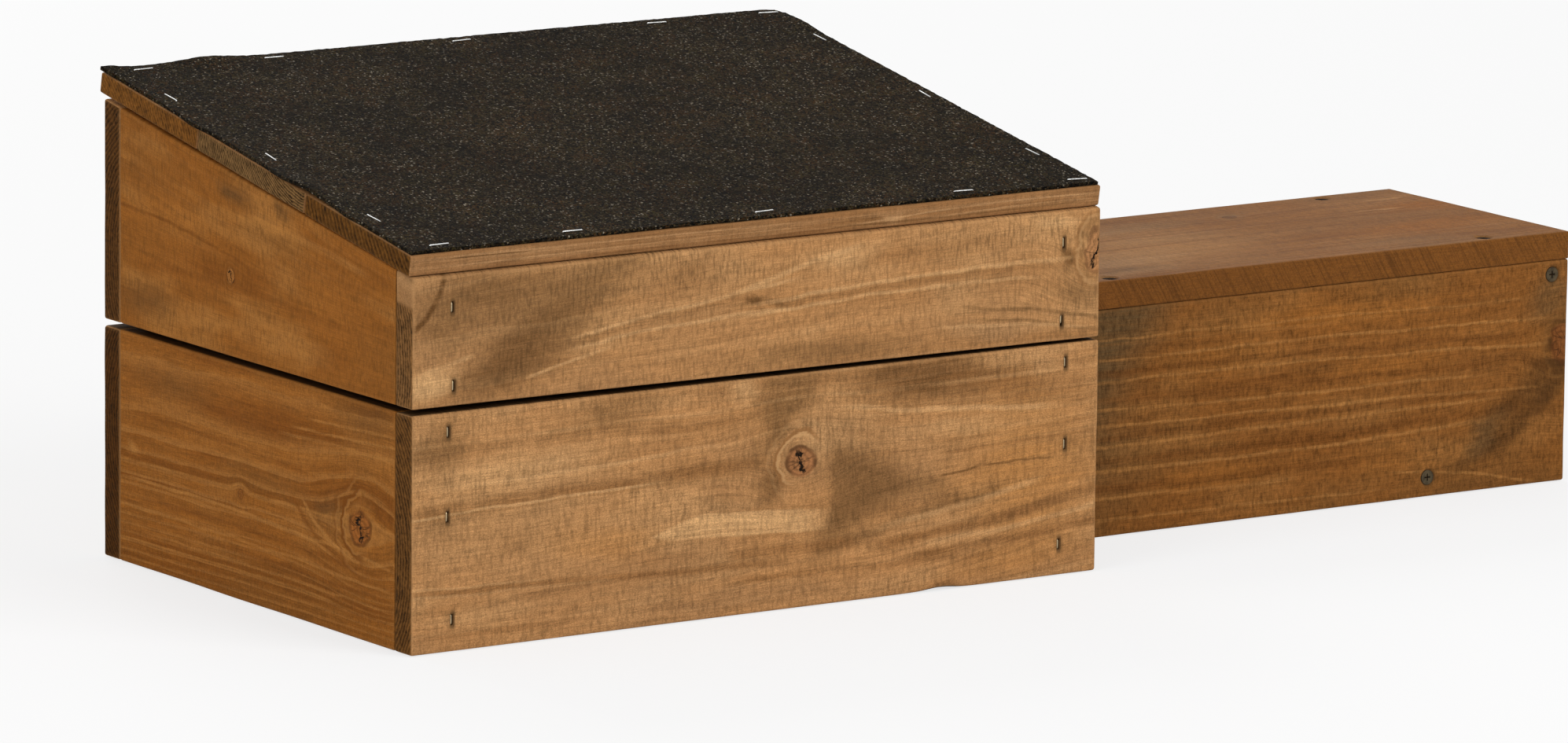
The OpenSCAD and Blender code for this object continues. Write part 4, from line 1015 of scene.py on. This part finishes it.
# Sheet of a box grid: the outline is drawn in by waves, one corner is cut round, one runs to a tip,
# tongues reach out on the left, and lifts are bell-shaped hills
def makeFelt(values):
    size = np.array((values["right"] - values["left"], values["high"] - values["low"], values["thick"]))
    lines = []
    for length in size[:2]:
        rows = np.linspace(0, length, round(length / values["step"]) + 1)
        lines.append(np.unique(np.concatenate((rows, values["rimRows"], length - values["rimRows"]))))
    box, quads = boxGrid([*lines, values["layers"]])
    core = np.clip(box, values["ease"], size - values["ease"])
    away = box - core
    points = core + values["ease"] * away / np.linalg.norm(away, axis=1, keepdims=True)
    flat = box * (1, 1, 0)
    for axis in (0, 1):
        wave = ripple(flat, values["seed"] + axis, values["waves"])
        wave += ripple(flat, values["seed"] + 5 + axis, values["fineWaves"]) * values["fineShare"]
        fromLow, fromHigh = box[:, axis], size[axis] - box[:, axis]
        near = np.exp(-fromLow / values["frayReach"]) - np.exp(-fromHigh / values["frayReach"])
        points[:, axis] += values["fray"] * wave * near
    reach = np.hypot(size[0] - box[:, 0], size[1] - box[:, 1]) / values["cornerCut"]
    cut = np.clip(1 - reach, 0, 1) * values["cornerCut"] * values["cutShare"]
    points[:, :2] -= cut[:, None]
    tipX, tipU = values["tipReach"]
    points[:, 0] -= values["tip"] * np.exp(-(box[:, 0] / tipX) ** 2 - ((size[1] - box[:, 1]) / tipU) ** 2)
    lift = np.zeros(len(box))
    x, u = box[:, 0] + values["left"], box[:, 1] + values["low"]
    for atU, wideU, out in values["tongues"]:
        points[:, 0] -= out * np.exp(-((u - atU) / wideU) ** 2 - box[:, 0] / values["tongueReach"])
    for atX, atU, wideX, wideU, high in values["lifts"]:
        lift += high * np.exp(-((x - atX) / wideX) ** 2 - ((u - atU) / wideU) ** 2)
    points[:, 2] += lift
    rng = np.random.default_rng(values["seed"])
    grit = rng.uniform(-values["grit"], values["grit"], len(box))
    points[:, 2] += np.where(box[:, 2] > values["gritFrom"], grit, 0)
    grain = points + (values["left"], values["low"], 0)
    place = roofOrigin + grain @ np.stack((right, slope, square)) + square * house["roofThick"]
    piece = newPiece(values["name"], place, quads, values, (("grain", grain),))
    piece.data.materials.append(feltFinish(feltLook))
    print("felt made,", round(size[0] * size[1] / 1e6, 4), "square metres")
    return piece


# Granules per millimetre and their tones; patches have waves per millimetre, a seed, detail, roughness and a range
feltLook = {
    "cell": 1.2, "rustPatch": (0.045, 3, 3.0, 0.6, 0.4, 0.66), "mossPatch": (0.05, 9, 3.0, 0.6, 0.42, 0.68),
    "lightPatch": (0.018, 5, 2.0, 0.5, 0.35, 0.7), "rust": (0.1, 0.046, 0.015), "moss": (0.085, 0.062, 0.02),
    "sand": (0.125, 0.09, 0.045), "chalk": (0.4, 0.34, 0.25), "relief": 0.9, "reliefDeep": 0.0005, "gloss": 0.03,
    "charcoal": (
        (0.0, (0.0015, 0.0014, 0.0012)), (0.4, (0.005, 0.0043, 0.0034)), (0.75, (0.017, 0.0135, 0.009)),
        (1.0, (0.052, 0.042, 0.028)),
    ),
}


# Mineral felt: cells are granules, each with its own tone by a random number, mostly charcoal, some brown, a few pale
def feltFinish(look):
    finish, top = newFinish("mineral_felt")
    spot = top.attribute("grain")
    sockets = {"Vector": spot, "Scale": look["cell"], "Randomness": 1.0}
    cells = spot.node("ShaderNodeTexVoronoi", {"feature": "F1"}, sockets, out="Color")
    depth = Wire(top.tree, cells.socket.node.outputs["Distance"])
    pick, second, third = cells.split()
    patches = []
    for kind in ("rustPatch", "mossPatch", "lightPatch"):
        scale, seed, detail, rough, low, high = look[kind]
        patches.append(spot.noise((scale, scale, scale), seed, detail, rough).climb(low, high))
    rust, moss, light = patches
    colour = top.node("ShaderNodeValToRGB", {"stops": look["charcoal"]}, {"Fac": pick})
    colour = colour.toward(look["rust"], second.climb(0.66, 0.84) * (rust * 0.6 + 0.22))
    colour = colour.toward(look["moss"], second.climb(0.3, 0.14) * (moss * 0.6 + 0.26))
    colour = colour.toward(look["sand"], third.climb(0.84, 0.9) * 0.8)
    colour = colour.toward(look["chalk"], third.climb(0.972, 0.985) * 0.9)
    colour = (light * 0.2 + 0.42).tinted(colour)
    height = 1 - depth + second * 0.6
    closeFinish(top, {
        "Base Color": colour, "Roughness": pick * 0.2 - third.climb(0.9, 0.96) * 0.3 + 0.75,
        "Specular IOR Level": look["gloss"], "Normal": height.bump(look["relief"], look["reliefDeep"]),
    })
    return finish


makeFelt(felt)

# Metal fittings

# Waves per metre of the metals' patches, scratches and spots, and the spots' tone
metalLook = {
    "patches": (260, 260, 260), "scratches": (2600, 900, 5200), "spots": (1400, 1400, 1400),
    "grime": (0.09, 0.06, 0.04), "relief": 0.35, "reliefDeep": 0.00005,
}


# Bright, brassy or dull metal: a base tone that drifts to a second one, dark spots and fine scratches
def metalFinish(name, tone, second, rough, seed, dull, bare=1.0, gloss=0.5):
    finish, top = newFinish(name)
    spot = top.node("ShaderNodeTexCoord", out="Object")
    drift = spot.noise(metalLook["patches"], seed, 3.0, 0.6).climb(0.35, 0.7)
    scratch = spot.noise(metalLook["scratches"], seed + 1)
    spots = spot.noise(metalLook["spots"], seed + 2).climb(0.58, 0.72)
    height = scratch + spots * 0.4
    closeFinish(top, {
        "Base Color": drift.between(tone, second).toward(metalLook["grime"], spots * dull),
        "Metallic": bare - spots * (dull * bare), "Specular IOR Level": gloss,
        "Roughness": drift * 0.18 + spots * 0.2 + rough,
        "Normal": height.bump(metalLook["relief"], metalLook["reliefDeep"]),
    })
    return finish


# One staple: a rounded wire profile carried along a path of leg, bend, crown, bend and leg,
# with x along the crown and z up from the legs; a power below 1 squares the round profile
def stapleWire(crown, leg, wire, bend, sides=10, steps=6, power=0.7):
    half = crown / 2 - wire / 2
    turn = np.linspace(0, math.pi / 2, steps)
    low = np.array((-half, -leg))
    left = np.stack((-half + bend - bend * np.cos(turn), -wire / 2 - bend + bend * np.sin(turn)), 1)
    path = np.concatenate((low[None], left, left[::-1] * (-1, 1), (low * (-1, 1))[None]))
    step = np.gradient(path, axis=0)
    step /= np.linalg.norm(step, axis=1, keepdims=True)
    normal = np.stack((-step[:, 1], step[:, 0]), 1)
    around = np.linspace(0, 2 * math.pi, sides, endpoint=False)
    profile = np.stack((np.cos(around), np.sin(around)), 1)
    profile = np.sign(profile) * np.abs(profile) ** power * wire / 2
    rings = path[:, None, :] + normal[:, None, :] * profile[None, :, :1]
    across = np.broadcast_to(profile[:, 1], rings.shape[:2])
    points = np.stack((rings[..., 0], across, rings[..., 1]), -1).reshape(-1, 3)
    ring, side = np.meshgrid(np.arange(len(path) - 1), np.arange(sides), indexing="ij")
    first, second = ring * sides + side, ring * sides + (side + 1) % sides
    quads = np.stack((first, second, second + sides, first + sides), -1).reshape(-1, 4)
    caps = [list(range(sides))[::-1], list(range(len(points) - sides, len(points)))]
    return points, quads, caps


# Copies of one staple, each turned by three directions and set at its place
def makeStaples(values, places):
    points, quads, caps = stapleWire(values["crown"], values["leg"], values["wire"], values["bend"])
    turns = np.stack([np.stack(turn) for at, turn in places])
    starts = np.stack([at for at, turn in places])
    allPoints = (np.einsum("pi,nij->npj", points, turns) + starts[:, None, :]).reshape(-1, 3)
    faces = []
    for n in range(len(places)):
        faces += (quads + n * len(points)).tolist() + [[i + n * len(points) for i in cap] for cap in caps]
    piece = newPiece(values["name"], allPoints, faces, values)
    piece.data.materials.append(values["finish"])
    return piece


brassWire = metalFinish("brassed_wire", (0.54, 0.41, 0.24), (0.34, 0.27, 0.17), 0.34, 1, 0.5)
brightWire = metalFinish("bright_wire", (0.62, 0.62, 0.61), (0.4, 0.4, 0.39), 0.26, 2, 0.35)
wallStaples = {
    "crown": 5.5, "leg": 28, "wire": 1.1, "bend": 0.7, "body": "house", "slot": "wall_staple_wire",
    "finish": brassWire, "sink": 0.6,
}


# Place of a wall staple: a point sunk into the wood, and directions with an upright crown and legs that lead inwards
def stapleAt(x, y, z, out):
    return np.array((x, y, z)) - wallStaples["sink"] * out, (up, np.cross(out, up), out)


def wallColumns(y, out, levels):
    return [stapleAt(x, y, level, out) for x, level in stapleSpots(levels)]


# Staples from inside through the posts into the side boards
def innerColumns():
    places = []
    thick = cornerPosts["side"]
    for row, y, topKey, innerKey, seed in cornerPosts["rows"]:
        for side, x, faceSide in cornerPosts["columns"]:
            out = right if faceSide else -right
            places += [stapleAt(x + faceSide * thick, y + thick / 2, level, out) for level in stapleRows[innerKey]]
    return places


def cleatColumns():
    middle, level = roofCleats["wide"] / 2, wallStaples["sink"] - roofCleats["thick"]
    turn = (right, -slope, -square)
    return [
        (onRoof(roofCleats[side] + middle, u, level), turn)
        for side, seed in roofCleats["seeds"] for u in roofCleats["staples"]
    ]


for name, node, places in (
    ("front_staples", "front_wall_staples", wallColumns(0, -back, stapleRows["frontLevels"])),
    ("back_staples", "back_wall_staples", wallColumns(house["depth"], back, stapleRows["backLevels"])),
    ("post_staples", "side_wall_staples", innerColumns()),
):
    makeStaples(dict(wallStaples, name=name, node=node), places)
cleatStaples = dict(wallStaples, name="batten_staples", node="cleat_staples", leg=21, body="roof")
makeStaples(cleatStaples, cleatColumns())

feltStaples = {
    "name": "felt_wire_staples", "node": "felt_staples", "crown": 11.5, "leg": 8, "wire": 0.72, "bend": 0.5,
    "body": "roof", "slot": "felt_staple_wire", "finish": brightWire,
    "rowX": (19, 94.25, 204.5, 321.75, 390), "rowTilt": (2, -1, 3, -3, -6), "rowU": (9.03, 284.96), "level": 12.8,
    "sideX": (9, 393), "sideU": (52.03, 147.0, 241.96), "sideTilt": (94, 87, 92), "sideLevel": 12.66,
}


# Felt staples in two rows along the front and back edges and two columns at the sides, each with its own tilt
def feltRows(values):
    spots = []
    for x, tilt in zip(values["rowX"], values["rowTilt"]):
        spots += [(x, u, values["level"], tilt) for u in values["rowU"]]
    for u, tilt in zip(values["sideU"], values["sideTilt"]):
        spots += [(x, u, values["sideLevel"], tilt) for x in values["sideX"]]
    places = []
    for x, u, level, tilt in spots:
        ca, sa = math.cos(math.radians(tilt)), math.sin(math.radians(tilt))
        places.append((onRoof(x, u, level), (ca * right + sa * slope, ca * slope - sa * right, square)))
    return places


makeStaples(feltStaples, feltRows(feltStaples))
print("staples made")

# Screws and hinges keep their own solids and get their finishes here:
# nodes, then name, two tones, roughness, seed, share of dull spots, and for some bare metal and gloss
fittings = (
    # The tunnel top's screws are near black: painted shade in their sunk seats, in place of their steel's own tone
    ("tunnel_top_screws", "dull_screw", (0.014, 0.0105, 0.0075), (0.006, 0.005, 0.004), 0.75, 3, 0.2, 0.0, 0.03),
    ("tunnel_wall_screws tunnel_fixing_screws", "plated_screw",
     (0.085, 0.062, 0.033), (0.035, 0.027, 0.016), 0.45, 4, 0.5, 0.6, 0.15),
    ("hinge_wall_screws hinge_roof_screws", "hinge_screw", (0.46, 0.46, 0.45), (0.34, 0.34, 0.33), 0.32, 5, 0.2),
    ("left_hinge_wall_leaf right_hinge_wall_leaf left_hinge_roof_leaf right_hinge_roof_leaf", "zinc_leaf",
     (0.42, 0.43, 0.44), (0.3, 0.31, 0.33), 0.36, 6, 0.3),
    ("left_hinge_pin right_hinge_pin", "steel_pin", (0.4, 0.4, 0.4), (0.3, 0.3, 0.3), 0.3, 7, 0.25),
)
for names, *look in fittings:
    finish = metalFinish(*look)
    for node in names.split():
        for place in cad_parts[node].material_slots:
            place.material = finish
print("fittings finished")

# Studio: pale floor, white surroundings, three soft lamps and the camera

studio = {
    "floorTone": (0.86, 0.86, 0.86), "floorWhite": 0.72, "floorDrop": 0.0004, "reach": 30, "ambient": 0.47,
    "lampAim": (0, 0, 0.1),
    "lamps": (((1.3, -3.4, 2.3), 99, 2.4), ((-4.0, -1.2, 2.0), 59, 2.2), ((0.6, 3.8, 2.6), 70, 2.6)),
    "cameraAt": (-3.138, -4.5223, 1.095), "angles": (34.24, 100.46, 0.64), "focal": 14165, "frameWide": 1994,
    "sensor": 36,
}


# White to the eye and to reflections, plain to light
def seenWhite(top):
    path = top.node("ShaderNodeLightPath").socket.node.outputs
    kinds = ("Is Camera Ray", "Is Glossy Ray", "Is Transmission Ray")
    eye, gloss, clear = (Wire(top.tree, path[kind]) for kind in kinds)
    return eye.math("MAXIMUM", gloss).math("MAXIMUM", clear)


def makeFloor():
    mesh = bpy.data.meshes.new("studio_floor")
    rim = np.array(((-1, -1, 0), (1, -1, 0), (1, 1, 0), (-1, 1, 0))) * studio["reach"] - (0, 0, studio["floorDrop"])
    mesh.from_pydata(rim.tolist(), [], [(0, 1, 2, 3)])
    floor = bpy.data.objects.new("studio_floor", mesh)
    bpy.context.scene.collection.objects.link(floor)
    finish, top = newFinish("pale_floor")
    plain = top.node("ShaderNodeBsdfDiffuse", None, {"Color": studio["floorTone"]})
    white = top.node("ShaderNodeEmission", None, {"Color": (1, 1, 1), "Strength": 1.0})
    both = top.node("ShaderNodeMixShader", None, {0: seenWhite(top) * studio["floorWhite"], 1: plain, 2: white})
    top.node("ShaderNodeOutputMaterial", None, {"Surface": both})
    mesh.materials.append(finish)


def makeSurroundings():
    world = bpy.data.worlds.new("studio")
    bpy.context.scene.world = world
    world.use_nodes = True
    world.node_tree.nodes.clear()
    top = Wire(world.node_tree)
    plain = top.node("ShaderNodeBackground", None, {"Color": (1, 1, 1), "Strength": studio["ambient"]})
    white = top.node("ShaderNodeBackground", None, {"Color": (1, 1, 1), "Strength": 1.0})
    both = top.node("ShaderNodeMixShader", None, {0: seenWhite(top), 1: plain, 2: white})
    top.node("ShaderNodeOutputWorld", None, {"Surface": both})
    for n, (at, power, size) in enumerate(studio["lamps"]):
        lamp = bpy.data.lights.new(f"soft_{n}", "AREA")
        lamp.energy, lamp.shape, lamp.size = power, "SQUARE", size
        lampObject = bpy.data.objects.new(f"soft_{n}", lamp)
        lampObject.location = at
        aim = Vector(studio["lampAim"]) - Vector(at)
        lampObject.rotation_euler = aim.to_track_quat("-Z", "Y").to_euler()
        bpy.context.scene.collection.objects.link(lampObject)


# Turn by an angle round the x or z axis
def turned(angle, axis):
    c, s = math.cos(angle), math.sin(angle)
    return np.array(((1, 0, 0), (0, c, -s), (0, s, c)) if axis == "x" else ((c, -s, 0), (s, c, 0), (0, 0, 1)))


# Camera turned by the pan, tilt and roll that fit the photograph; rows are right, down and forward
def makeCamera():
    pan, tilt, roll = (math.radians(a) for a in studio["angles"])
    rows = turned(roll, "z") @ turned(tilt, "x") @ turned(pan, "z")
    lens = bpy.data.cameras.new("photo_camera")
    lens.sensor_width = studio["sensor"]
    lens.lens = studio["focal"] / studio["frameWide"] * studio["sensor"]
    camera = bpy.data.objects.new("photo_camera", lens)
    pose = Matrix(np.stack((rows[0], -rows[1], -rows[2]), 1).tolist()).to_4x4()
    camera.matrix_world = Matrix.Translation(studio["cameraAt"]) @ pose
    bpy.context.scene.collection.objects.link(camera)
    bpy.context.scene.camera = camera


makeFloor()
makeSurroundings()
makeCamera()
bpy.context.scene.view_settings.view_transform = "Standard"
print("studio made")
